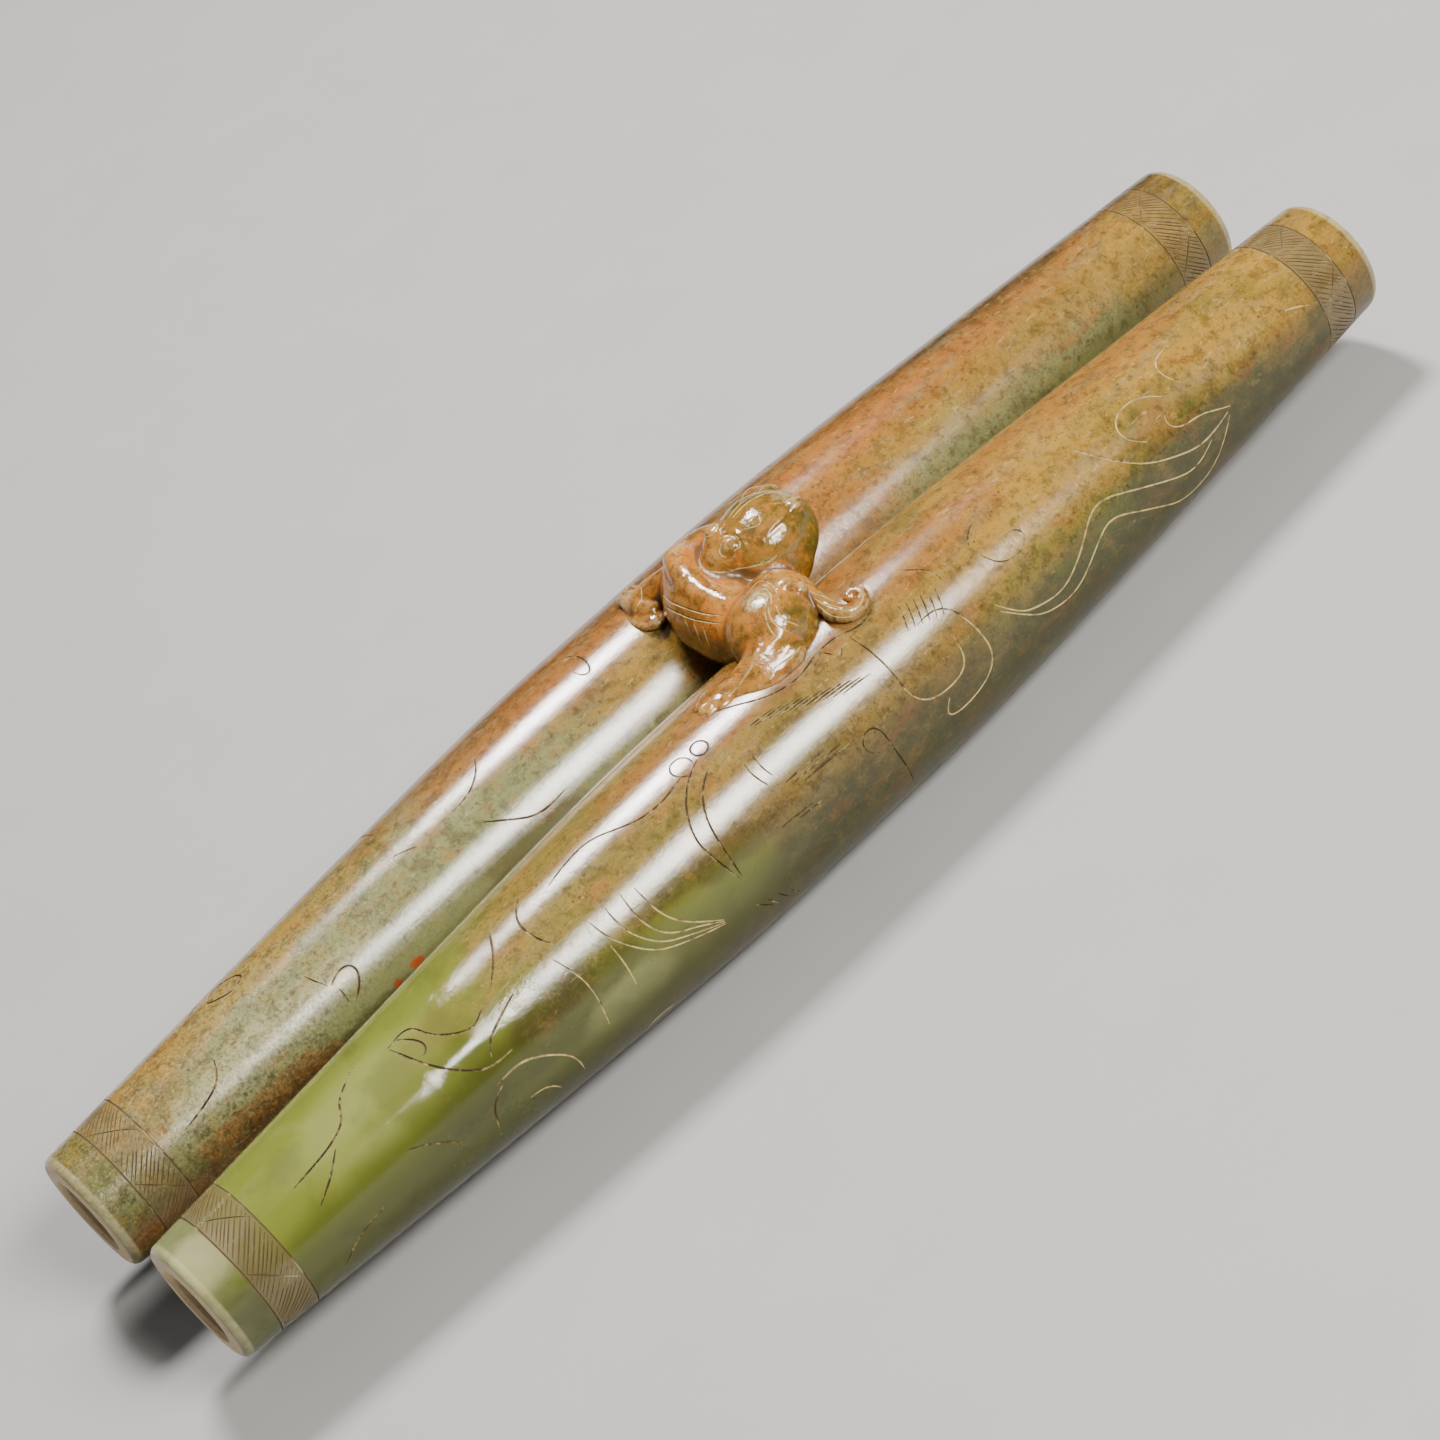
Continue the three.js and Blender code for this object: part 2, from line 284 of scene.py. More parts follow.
FRONT_HEAVY = RINGS_AND_STEM + CLOUD + SPRIGS + NEAR_VINE + NICKS + BEAST_GROUND + HAIRS
FRONT_FINE = (
    FEATHERS + NAPE_CURLS + EYE_CURL + STREAMERS
    + moved(STREAMERS, -62, 165)
    + moved(NAPE_CURLS, 22, 150)
    + moved(FEATHERS, 84, 155)
    + moved(CLOUD, 0, 175, -1)
    + moved(RINGS_AND_STEM, 8, 195)
    + moved(NEAR_VINE, 4, 200)
)
REAR_CURLS = [
    [(-27.7, 39), (-25.6, 48), (-23.4, 56), (-21.3, 57), (-19.5, 56)],
    [(-23, 4), (-24, 13), (-25.6, 19), (-27.3, 22), (-29, 22)],
    [(-9.6, 8), (-9.5, 17), (-8.4, 18), (-7.8, 10), (-7.8, -2), (-8.6, -7)],
    [(-36.2, 16), (-35, 19), (-34, 22)],
    [(-49.7, 49), (-48.3, 45), (-47.4, 44), (-46.6, 48), (-47, 57), (-48.1, 63), (-49, 67)],
    [(-51, 33), (-50.5, 43), (-50, 48)],
    [(-49.4, 54), (-49.2, 59), (-49.5, 64)],
    [(-62.9, 32), (-64, 45), (-66.5, 51), (-69.5, 55)],
    [(-55, -4), (-57, -1), (-59, -12), (-57.5, -22), (-55.5, -14), (-55, -4)],
]
REAR_FINE = (
    moved(STREAMERS, -4, -160)
    + moved(NAPE_CURLS, -40, -130)
    + moved(CLOUD, 2, -150)
    + moved(FEATHERS, 30, -150)
    + moved(RINGS_AND_STEM, 40, -100)
    + moved(EYE_CURL, 22, -125)
    + moved(NEAR_VINE, 6, -120)
)


# Small tools
def deselect():
    """Leaves nothing selected."""
    bpy.ops.object.select_all(action="DESELECT")


def take(piece):
    """Makes a piece the only selected object, and the active one."""
    deselect()
    piece.select_set(True)
    bpy.context.view_layer.objects.active = piece


def join(first, others):
    """Joins other meshes to the first."""
    take(first)
    for other in others:
        other.select_set(True)
    bpy.ops.object.join()
    return first


def drop(*pieces):
    """Removes helper objects that have done their work."""
    for piece in pieces:
        bpy.data.objects.remove(piece, do_unlink=True)


def settle(piece, name):
    """Names a piece and puts its place in its mesh, with its object at the origin."""
    take(piece)
    bpy.ops.object.transform_apply(location=True, rotation=True, scale=True)
    piece.name = name
    piece.data.name = name
    return piece


def apply_modifier(piece, kind, **values):
    """Adds a modifier, sets it and applies it."""
    take(piece)
    modifier = piece.modifiers.new(kind.lower(), kind)
    for key, value in values.items():
        setattr(modifier, key, value)
    bpy.ops.object.modifier_apply(modifier=modifier.name)
    if piece.modifiers:
        raise RuntimeError(f"{kind} could not be applied to {piece.name}")


def cut(piece, cutter):
    """Takes the space of a cutter out of a piece, and the cutter away."""
    apply_modifier(piece, "BOOLEAN", operation="DIFFERENCE", solver="MANIFOLD", object=cutter)
    drop(cutter)


def smooth_path(points, step, rounds=0):
    """A smooth line through points, with a point about every step, eased further by each round."""
    points = [Vector(point) for point in points]
    closed = (points[0] - points[-1]).length < SAME_POINT
    before_first = points[-2] if closed else 2 * points[0] - points[1]
    after_last = points[1] if closed else 2 * points[-1] - points[-2]
    ends = [before_first, *points, after_last]
    path = [points[0]]
    for before, start, stop, after in zip(ends, ends[1:], ends[2:], ends[3:]):
        count = max(2, round((stop - start).length / step))
        for i in range(1, count + 1):
            t = i / count
            path.append(
                0.5 * (2 * start + (stop - before) * t
                       + (2 * before - 5 * start + 4 * stop - after) * t * t
                       + (3 * start - before - 3 * stop + after) * t ** 3)
            )
    for i in range(0 if closed else rounds):
        middle = [(a + 2 * b + c) / 4 for a, b, c in zip(path, path[1:], path[2:])]
        path = [path[0], *middle, path[-1]]
    return path


def curve_to_mesh(curve):
    """Turns a curve with a round section into a closed mesh."""
    piece = bpy.data.objects.new(curve.name, curve)
    bpy.context.collection.objects.link(piece)
    take(piece)
    bpy.ops.object.convert(target="MESH")
    piece = bpy.context.object
    bpy.ops.object.mode_set(mode="EDIT")
    bpy.ops.mesh.select_all(action="SELECT")
    bpy.ops.mesh.remove_doubles(threshold=SAME_POINT)
    bpy.ops.mesh.normals_make_consistent(inside=False)
    bpy.ops.object.mode_set(mode="OBJECT")
    return piece


# Cut lines
def cells(path, spread):
    """The small cubes that a line passes through, with their neighbours where spread is 1."""
    found = set()
    reach = range(-spread, spread + 1)
    for point in path:
        base = [round(value / LAYER_CELL) for value in point]
        for i in reach:
            for j in reach:
                for k in reach:
                    found.add((base[0] + i, base[1] + j, base[2] + k))
    return found


def layers(paths):
    """Sorts lines into layers, so that no two lines of a layer touch."""
    sorted_layers = []
    for path in paths:
        mine = cells(path, 0)
        for layer, taken in sorted_layers:
            if not mine & taken:
                break
        else:
            layer, taken = [], set()
            sorted_layers.append((layer, taken))
        layer.append(path)
        taken |= cells(path, 1)
    return [layer for layer, taken in sorted_layers]


def graver(paths, width, blunt):
    """The stone that a graver takes out along lines: round cords with pointed ends."""
    curve = bpy.data.curves.new("graver", "CURVE")
    curve.dimensions = "3D"
    curve.bevel_depth = width / 2
    curve.bevel_resolution = 1
    curve.use_fill_caps = True
    for path in paths:
        spline = curve.splines.new("POLY")
        closed = (path[0] - path[-1]).length < SAME_POINT
        spline.use_cyclic_u = closed
        points = path[:-1] if closed else path
        last = len(points) - 1
        spline.points.add(last)
        for i, point in enumerate(points):
            spline.points[i].co = (*point, 1)
            taper = 1 if closed else min(1, min(i, last - i) / POINTED)
            spline.points[i].radius = blunt + (1 - blunt) * taper
    return curve_to_mesh(curve)


def engrave(piece, paths, width, look, blunt=BLUNT):
    """Cuts lines into a piece, with a material of their own."""
    for layer in layers(paths):
        cutter = graver(layer, width, blunt)
        for slot in piece.material_slots:
            cutter.data.materials.append(slot.material)
        for face in cutter.data.polygons:
            face.material_index = look
        cut(piece, cutter)


# Tubes
def eased(distance, ease):
    """Drop from the middle radius at a distance past the straight stretch, before it is scaled."""
    return math.hypot(distance, ease) - ease


def tube_radius(tube, along):
    """Radius of a tube at a place along it."""
    start = tube.straight / 2
    past = max(abs(along) - start, 0)
    share = eased(past, tube.ease) / eased(tube.length / 2 - start, tube.ease)
    return tube.mid_radius - (tube.mid_radius - tube.end_radius) * share


def on_tube(tube, axis, along, around):
    """A point on the outside of a tube, from millimetres along it and degrees round it."""
    x = along * MM
    radius = tube_radius(tube, x)
    angle = math.radians(around)
    return Vector((x, axis - radius * math.sin(angle), AXIS_HEIGHT + radius * math.cos(angle)))


def tube_lines(tube, axis, lines):
    """Cut lines as smooth paths on the outside of a tube."""
    degree = math.radians(1) * MID_RADIUS / MM
    paths = []
    for line in lines:
        flat = [(along, around * degree, 0) for along, around in line]
        flat = smooth_path(flat, STROKE_STEP, EASE_ROUNDS)
        paths.append([on_tube(tube, axis, point.x, point.y / degree) for point in flat])
    return paths


def outer_stations(tube, extra):
    """Stations of the outside from the near lip to the far lip, as places along and radii."""
    half = tube.length / 2
    lip_start = half - tube.lip
    reach = tube.straight / 2
    far = [reach + (lip_start - reach) * i / TAPER_STEPS for i in range(TAPER_STEPS + 1)]
    far = [(x, tube_radius(tube, x) + extra) for x in far]
    centre = tube_radius(tube, lip_start) - tube.lip
    for i in range(1, LIP_STEPS + 1):
        turn = i * math.pi / 2 / LIP_STEPS
        far.append((lip_start + tube.lip * math.sin(turn), centre + tube.lip * math.cos(turn) + extra))
    steps = range(1 - MIDDLE_STEPS, MIDDLE_STEPS)
    middle = [(reach * i / MIDDLE_STEPS, tube.mid_radius + extra) for i in steps]
    return [(-x, radius) for x, radius in reversed(far)] + middle + far


def bore_stations(tube):
    """Stations of the bore from the far mouth to the near mouth."""
    half = tube.length / 2
    inner = half - tube.mouth
    walls = [(inner - 2 * inner * i / BORE_STEPS, tube.bore) for i in range(BORE_STEPS + 1)]
    return [(half, tube.bore + tube.mouth), *walls, (-half, tube.bore + tube.mouth)]


def turned(stations, axis, closed):
    """Turns a profile: a ring is drawn out along X and resized from station to station."""
    deselect()
    at, radius = stations[0]
    bpy.ops.mesh.primitive_circle_add(
        vertices=TUBE_SIDES,
        radius=radius,
        location=(at, axis, AXIS_HEIGHT),
        rotation=(0, math.pi / 2, 0),
    )
    bpy.ops.object.mode_set(mode="EDIT")
    bpy.ops.mesh.select_mode(type="VERT")
    bpy.ops.mesh.select_all(action="SELECT")
    for x, next_radius in stations[1:] + (stations[:1] if closed else []):
        bpy.ops.mesh.extrude_region_move(TRANSFORM_OT_translate={"value": (x - at, 0, 0)})
        share = next_radius / radius
        bpy.ops.transform.resize(value=(1, share, share), center_override=(x, axis, AXIS_HEIGHT))
        at, radius = x, next_radius
    bpy.ops.mesh.select_all(action="SELECT")
    bpy.ops.mesh.remove_doubles(threshold=SAME_POINT)
    bpy.ops.mesh.fill_holes(sides=0)
    bpy.ops.mesh.normals_make_consistent(inside=False)
    bpy.ops.object.mode_set(mode="OBJECT")
    return bpy.context.object


def grind_flat(piece, place, outward):
    """Grinds the flat where a tube meets the other one."""
    take(piece)
    bpy.ops.object.mode_set(mode="EDIT")
    bpy.ops.mesh.select_all(action="SELECT")
    bpy.ops.mesh.bisect(
        plane_co=(0, place, 0), plane_no=(0, outward, 0), use_fill=True, clear_outer=True,
        threshold=SAME_POINT / 10,
    )
    bpy.ops.mesh.select_all(action="SELECT")
    bpy.ops.mesh.normals_make_consistent(inside=False)
    bpy.ops.object.mode_set(mode="OBJECT")


TRIANGLES = 6  # hatched triangles round each band, and as many between them
HATCHES = 12  # strips that the lines part each triangle in
HATCH_SWAY = 0.24  # how far a line may stray, as a share of its strip
HATCH_BEAT = 5.3  # how much the straying changes from line to line
HATCH_INSET = 0.06  # gap between the hatching and each ring, as a share of the band


def triangle_hatch(corner, side, tip):
    """Lines across a triangle, not quite evenly, parallel to the edge from its side to its tip."""
    lines = []
    for i in range(1, HATCHES):
        share = (i + HATCH_SWAY * math.sin(HATCH_BEAT * i + corner.y)) / HATCHES
        lines.append([corner.lerp(side, share), corner.lerp(tip, share)])
    return lines


def band_lines(tube, end):
    """The two rings, the zigzag and the hatched triangles of the band at one end."""
    outer = end * (tube.length / 2 - tube.collar) / MM
    inner = end * (tube.length / 2 - tube.collar - tube.band) / MM
    rings = [[(at, turn) for turn in range(0, 361, RING_STEP)] for at in (inner, outer)]
    step = 360 / TRIANGLES
    shrink = Vector((end * tube.band / MM * HATCH_INSET, 0))
    hatches = []
    for i in range(TRIANGLES):
        left = Vector((outer, i * step)) - shrink
        right = Vector((outer, (i + 1) * step)) - shrink
        tip = Vector((inner, (i + 0.5) * step)) + shrink
        next_tip = Vector((inner, (i + 1.5) * step)) + shrink
        hatches += triangle_hatch(left, right, tip)
        hatches += triangle_hatch(next_tip, tip, right)
        hatches += [[left, tip], [tip, right]]
    return rings, [[(point.x, point.y) for point in line] for line in hatches]


def polish_normals(piece, tube, axis):
    """Gives the polished outside the true normals of its turned form, up to the edge of each cut."""
    mesh = piece.data
    count = len(mesh.loops)
    corner = np.empty(count, dtype=np.int32)
    mesh.loops.foreach_get("vertex_index", corner)
    place = np.empty(len(mesh.vertices) * 3)
    mesh.vertices.foreach_get("co", place)
    place = place.reshape(-1, 3)[corner]
    across = place[:, 1] - axis
    above = place[:, 2] - AXIS_HEIGHT
    reach = np.hypot(across, above)
    start = tube.straight / 2
    past = np.maximum(np.abs(place[:, 0]) - start, 0)
    scale = (tube.mid_radius - tube.end_radius) / eased(tube.length / 2 - start, tube.ease)
    radius = tube.mid_radius - scale * (np.hypot(past, tube.ease) - tube.ease)
    slope = np.sign(place[:, 0]) * scale * past / np.hypot(past, tube.ease)
    normal = np.stack([slope, across / reach, above / reach], axis=1)
    normal /= np.linalg.norm(normal, axis=1)[:, None]
    sizes = np.empty(len(mesh.polygons), dtype=np.int32)
    looks = np.empty(len(mesh.polygons), dtype=np.int32)
    mesh.polygons.foreach_get("loop_total", sizes)
    mesh.polygons.foreach_get("material_index", looks)
    facing = np.empty(len(mesh.polygons) * 3)
    mesh.polygons.foreach_get("normal", facing)
    facing = np.repeat(facing.reshape(-1, 3), sizes, axis=0)
    outside = np.abs(reach - radius) < POLISH_DEPTH
    outside &= np.repeat(looks == STONE, sizes)
    outside &= (facing * normal).sum(axis=1) > POLISH_FACING
    outside &= np.abs(place[:, 0]) < tube.length / 2 - tube.lip
    normal[~outside] = 0
    mesh.normals_split_custom_set(normal.tolist())


def make_tube(name, axis, heavy, fine, looks):
    """One bored tube with its ground flat, its cut lines, its two bands and its earthy bore."""
    tube = settings().tube
    piece = turned(outer_stations(tube, 0) + bore_stations(tube), axis, True)
    settle(piece, name)
    towards = 1 if axis < 0 else -1
    grind_flat(piece, FRONT_HIGH[1] if axis < 0 else REAR_LOW[1], towards)
    for look in looks:
        piece.data.materials.append(look)
    limit = tube.bore + tube.mouth / 2
    for face in piece.data.polygons:
        if math.hypot(face.center.y - axis, face.center.z - AXIS_HEIGHT) < limit:
            face.material_index = EARTH
    engrave(piece, tube_lines(tube, axis, heavy), tube.heavy, LINE)
    engrave(piece, tube_lines(tube, axis, fine), tube.line, LINE)
    for end in (-1, 1):
        rings, hatches = band_lines(tube, end)
        engrave(piece, tube_lines(tube, axis, rings), tube.hatch, LINE, 1)
        engrave(piece, tube_lines(tube, axis, hatches), tube.hatch, LINE)
    take(piece)
    bpy.ops.object.shade_smooth_by_angle(angle=TUBE_SMOOTH_ANGLE)
    polish_normals(piece, tube, axis)
    return piece


# Beast. Places and sizes are millimetres: along the tubes, across them and up from their crest.
BODY_FORMS = (
    # haunch, rump and shoulder
    ((4.2, -8.85, 0.5), (4.9, 4.5, 4.4)),
    ((6.6, -7.35, 0.4), (4.2, 4.4, 4.0)),
    ((8.2, 7.2, 0.2), (5.4, 4.4, 3.4)),
    # head, jaw, brow and muzzle
    ((12.1, 0.5, 2.3), (5.9, 5.3, 4.75)),
    ((11.0, -0.7, 1.0), (4.9, 4.4, 4.1)),
    ((9.0, 1.3, 4.1), (3.0, 3.4, 2.4)),
    ((7.6, 0.8, 3.8), (2.6, 2.8, 2.1)),
)
LIMBS = (
    # torso from the shoulder to the haunch
    (
        (8.6, 8.0, -0.5, 3.4), (6.3, 5.9, 0.2, 4.2), (4.1, 2.2, 0.0, 4.6), (3.6, -2.6, -0.5, 4.4),
        (4.4, -6.5, -0.4, 4.2),
    ),
    # spine
    (
        (5.0, 5.6, 3.9, 1.8), (3.6, 2.8, 3.6, 1.8), (3.0, 0.0, 3.0, 1.8), (3.1, -2.6, 2.4, 1.8),
        (3.7, -6.0, 1.8, 1.6),
    ),
    # neck
    ((8.4, 7.4, -0.7, 3.0), (12.1, 0.6, 2.2, 3.2)),
    # near and far foreleg
    ((4.4, 7.4, 0.8, 2.3), (2.2, 9.0, 0.6, 1.9), (0.9, 9.9, 0.3, 1.5)),
    ((13.0, 7.75, 0.5, 2.1), (18.1, 9.6, -0.1, 1.3)),
    # folded hind leg and its calf
    ((3.2, -10.2, 0.4, 3.2), (0.2, -11.6, 0.0, 2.3), (-2.6, -11.2, -0.2, 1.7), (-4.8, -10.6, -0.3, 1.3)),
    ((2.6, -12.6, -0.6, 2.0), (-0.8, -12.9, -0.7, 1.5), (-3.4, -11.7, -0.4, 1.1)),
    # edge of the thigh and shin
    (
        (4.8, -12.2, 2.0, 0.85), (2.5, -12.35, 1.75, 0.9), (-0.2, -12.1, 1.55, 0.85),
        (-2.2, -12.1, 0.85, 0.7),
    ),
)
SMALL_FORMS = (
    # near forepaw and its toes
    ((0.7, 9.7, 0.2), (1.7, 3.0, 1.4)),
    ((0.0, 8.4, -0.4), (1.8, 2.8, 0.9)),
    ((0.0, 12.0, 0.2), (0.6, 0.95, 0.8)),
    ((0.9, 12.2, 0.35), (0.6, 0.95, 0.85)),
    ((1.8, 12.0, 0.3), (0.6, 0.95, 0.8)),
    # far forepaw
    ((18.2, 9.7, -0.2), (1.9, 3.0, 1.2)),
    # hind foot and its toes
    ((-5.4, -10.4, -0.2), (2.1, 2.0, 1.0)),
    ((-6.9, -9.5, -0.2), (0.95, 0.5, 0.7)),
    ((-7.0, -10.5, -0.1), (0.95, 0.5, 0.75)),
    ((-6.8, -11.5, -0.2), (0.95, 0.5, 0.7)),
    # beads at the root of the tail
    ((7.0, -9.4, 3.9), (1.1, 1.0, 0.8)),
    ((7.9, -10.2, 2.9), (1.0, 0.9, 0.8)),
)
TAIL = (
    (7.2, -9.0, 3.0, 1.0), (8.6, -10.0, 1.6, 1.0), (8.9, -12.0, 0.6, 1.0), (8.7, -13.5, 0.35, 1.0),
    (9.6, -14.7, 0.0, 0.98), (11.0, -14.8, -0.05, 0.92), (12.0, -14.0, 0.2, 0.82),
    (11.6, -13.1, 0.4, 0.7), (10.9, -13.3, 0.45, 0.55),
)
EYES = ((7.8, -0.7, 5.7), (8.4, 2.7, 6.2))
EYE_RING = 1.15
EYE_RING_START = -60  # degrees
EYE_RING_SWEEP = 300
EYE_RING_STEPS = 10
EYE_BALL = 0.9
EYE_FLATNESS = 0.38
RIDGES = (
    # brows
    ((7.4, 0.6, 6.0), (8.4, 0.9, 6.5), (9.2, -0.2, 6.4), (9.1, -1.6, 5.8), (8.6, -2.3, 5.1)),
    ((7.7, 1.5, 6.2), (8.7, 1.3, 6.5), (9.7, 2.2, 6.6), (9.8, 3.4, 6.2), (9.3, 4.3, 5.4)),
    # far ear
    ((11.4, 2.6, 6.8), (12.4, 2.8, 6.7), (12.9, 3.8, 6.2), (12.2, 4.6, 5.7), (11.2, 4.2, 6.1)),
    # ridge behind the near ear
    ((10.9, -3.2, 5.6), (12.5, -3.2, 5.8), (14.2, -2.9, 5.5)),
)
RIDGE_RADIUS = 0.21
RIDGE_SINK = 0.06
TUFTS = (
    ((15.0, -1.6, 5.2), (1.9, 1.4, 0.7)),
    ((15.2, 2.6, 5.1), (1.9, 1.4, 0.7)),
)
FACE_LINES = (
    # mouth and lip
    (
        (10.2, -4.8, 3.7), (9.2, -4.4, 3.6), (7.8, -3.0, 3.7), (6.6, -1.8, 3.9), (5.7, -0.5, 4.0),
        (5.2, 0.8, 4.0),
    ),
    ((7.6, 4.0, 3.7), (6.4, 2.9, 3.9), (5.5, 1.9, 4.0), (5.2, 0.8, 4.0)),
    ((7.5, -3.9, 3.1), (8.6, -4.9, 3.0), (9.9, -5.4, 2.9)),
    # curl of the near ear
    (
        (9.9, -1.2, 6.4), (10.5, -1.8, 6.4), (11.2, -2.2, 6.3), (11.8, -1.8, 6.5), (12.0, -1.1, 6.8),
        (11.5, -0.8, 6.8),
    ),
    # hair of the crown
    ((10.4, 1.0, 6.9), (12.4, 1.0, 7.0), (14.6, 0.8, 6.6), (16.4, 0.5, 5.4)),
    ((10.4, 1.7, 6.9), (12.4, 1.9, 7.0), (14.6, 1.8, 6.5), (16.6, 1.4, 5.2)),
    ((14.0, -1.4, 6.4), (15.2, -1.8, 5.8), (16.6, -1.8, 4.9)),
    ((14.0, 2.6, 6.3), (15.2, 2.9, 5.8), (16.6, 2.8, 4.9)),
)
FLANK_LINES = (
    ((1.4, 5.2, 2.6), (0.6, 2.8, 3.2), (0.4, 0.3, 3.5), (0.6, -2.5, 3.6), (1.2, -5.0, 3.8)),
    ((0.7, 4.4, 2.1), (-0.1, 1.1, 2.8), (-0.1, -1.6, 2.9), (0.6, -5.4, 3.1)),
    ((-0.2, -0.3, 2.4), (-0.6, -0.9, 1.6), (-0.9, -1.2, 0.2)),
    ((-0.4, -1.7, 2.5), (-0.7, -2.2, 1.7), (-1.0, -2.6, 0.3)),
    ((-0.3, -3.0, 2.6), (-0.6, -3.6, 1.5), (-0.7, -3.8, 0.2)),
)
HAUNCH_LINES = (
    ((-0.1, -7.6, 2.0), (0.7, -6.3, 3.1), (2.0, -6.2, 4.2), (3.2, -6.9, 4.6), (4.1, -8.0, 4.8)),
    ((3.0, -7.8, 4.6), (4.3, -7.2, 4.7), (5.5, -7.8, 4.6), (5.3, -9.8, 4.7), (4.4, -10.9, 4.4)),
    ((3.4, -6.6, 4.7), (4.9, -6.2, 4.8), (6.4, -6.8, 4.4), (6.3, -9.1, 4.5), (5.2, -11.0, 4.2)),
    ((2.9, -8.9, 4.7), (3.7, -8.5, 4.8), (4.5, -9.2, 4.8), (4.3, -10.1, 4.7), (3.7, -10.8, 4.4)),
    ((3.9, -10.9, 4.4), (3.3, -11.6, 3.8), (3.2, -12.4, 3.0), (3.8, -13.1, 1.7)),
    ((4.6, -11.2, 4.2), (4.1, -12.0, 3.6), (4.2, -12.6, 2.9), (4.9, -13.1, 1.8)),
    ((3.3, -11.0, 4.3), (2.7, -11.7, 3.7), (2.4, -12.3, 3.0), (2.4, -12.9, 2.1)),
)
LEG_LINES = (
    ((0.0, -7.8, 1.6), (-0.8, -9.0, 1.0), (-2.2, -9.8, 0.7)),
    ((-0.3, -12.5, 1.9), (-2.0, -12.5, 1.3), (-3.0, -12.3, 0.9), (-4.8, -12.0, 0.3)),
    ((3.6, -13.9, 0.4), (2.3, -14.2, 0.5), (0.1, -13.9, 0.6)),
    # ticks of fur down the shin
    *(((x, -11.3, z), (x + 0.3, -11.7, z), (x + 0.6, -12.2, z)) for x, z in (
        (-1.2, 1.9), (-2.0, 1.6), (-2.8, 1.3), (-3.7, 1.0), (-4.8, 0.5),
    )),
)
TAIL_LINES = (
    ((8.5, -11.5, 1.8), (8.6, -13.5, 1.3), (9.3, -15.0, 0.8), (10.6, -15.5, 0.5), (12.0, -14.8, 0.6)),
    ((7.8, -11.5, 2.0), (8.1, -12.8, 1.2), (8.3, -14.5, 0.6), (9.5, -15.6, 0.0)),
    ((8.7, -10.8, 2.4), (9.2, -11.9, 1.6), (9.5, -13.0, 1.2), (10.0, -13.9, 0.8)),
)
SHOULDER_LINES = (
    ((7.4, 9.8, 2.6), (6.0, 8.6, 3.3), (4.8, 7.8, 3.4), (3.6, 8.2, 2.9)),
    ((9.0, 9.6, 2.6), (7.4, 8.0, 3.6), (5.6, 6.6, 3.9), (3.8, 6.2, 3.7)),
    ((11.0, 10.2, 2.0), (12.4, 9.2, 2.3), (13.6, 9.4, 2.2), (14.4, 10.2, 1.8)),
    ((10.4, 9.2, 2.6), (12.4, 8.2, 2.6), (14.2, 8.4, 2.4), (15.4, 9.2, 2.0)),
    ((1.6, 9.2, 1.8), (0.6, 8.6, 1.6), (-0.6, 8.6, 0.8)),
)
BEAST_LINES = FACE_LINES + FLANK_LINES + HAUNCH_LINES + LEG_LINES + TAIL_LINES + SHOULDER_LINES
CREST = 2 * MID_RADIUS / MM

# Fineness of the beast
LUMP_SIDES, LUMP_RINGS = 32, 20
EYE_SIDES, EYE_RINGS = 24, 14
LIMB_STEP, TAIL_STEP = 0.8, 0.5  # millimetres between the points of a limb
SKIN_STEP = 0.35  # millimetres between the points of a line on the skin
BODY_GRAIN = 1.8  # size of the first cells, in grains
BODY_ROUNDS, FINE_ROUNDS = 10, 3  # rounds that soften the first and the finer forms
HOLLOW_ROUNDS, CREASE_ROUNDS = 80, 240  # rounds that soften the skin before its depth is measured
BEAST_SMOOTH_ANGLE = math.radians(50)


def lump(place, half_sizes):
    """A rounded mass of stone."""
    deselect()
    along, across, above = place
    bpy.ops.mesh.primitive_uv_sphere_add(
        segments=LUMP_SIDES,
        ring_count=LUMP_RINGS,
        radius=MM,
        location=(along * MM, across * MM, (CREST + above) * MM),
        scale=half_sizes,
    )
    return bpy.context.object


def limb(points):
    """A limb of stone that swells and thins along its way, with round ends."""
    path = [Vector((x, y, CREST + z, radius)) for x, y, z, radius in points]
    curve = bpy.data.curves.new("limb", "CURVE")
    curve.dimensions = "3D"
    curve.bevel_depth = MM
    curve.bevel_resolution = 4
    curve.use_fill_caps = True
    spline = curve.splines.new("POLY")
    spline.points.add(len(path) - 1)
    for point, place in zip(spline.points, path):
        point.co = (*(place.xyz * MM), 1)
        point.radius = place.w
    piece = curve_to_mesh(curve)
    knobs = [lump((x, y, z), (radius, radius, radius)) for x, y, z, radius in points]
    return join(piece, knobs)


def bend(points, step):
    """Points of a limb with smooth bends between them."""
    path = smooth_path([point[:3] for point in points], step)
    given = [point[3] for point in points]
    radii = np.interp(np.linspace(0, 1, len(path)), np.linspace(0, 1, len(points)), given)
    return [(*point, radius) for point, radius in zip(path, radii)]


def blend_forms(piece, voxel, rounds):
    """Makes one skin of overlapping forms and softens the creases between them."""
    apply_modifier(piece, "REMESH", mode="VOXEL", voxel_size=voxel)
    apply_modifier(piece, "SMOOTH", factor=0.5, iterations=rounds)


def skin_point(piece, place):
    """The nearest point of a piece's skin to a place of the beast, and the normal there."""
    along, across, above = place
    found, point, normal, face = piece.closest_point_on_mesh(Vector((along, across, CREST + above)) * MM)
    if not found:
        raise RuntimeError(f"No skin near {place}")
    return point, normal


def on_skin(piece, points):
    """A smooth line through points, laid on the skin of a piece."""
    path = smooth_path(points, SKIN_STEP)
    return [skin_point(piece, point)[0] for point in path]


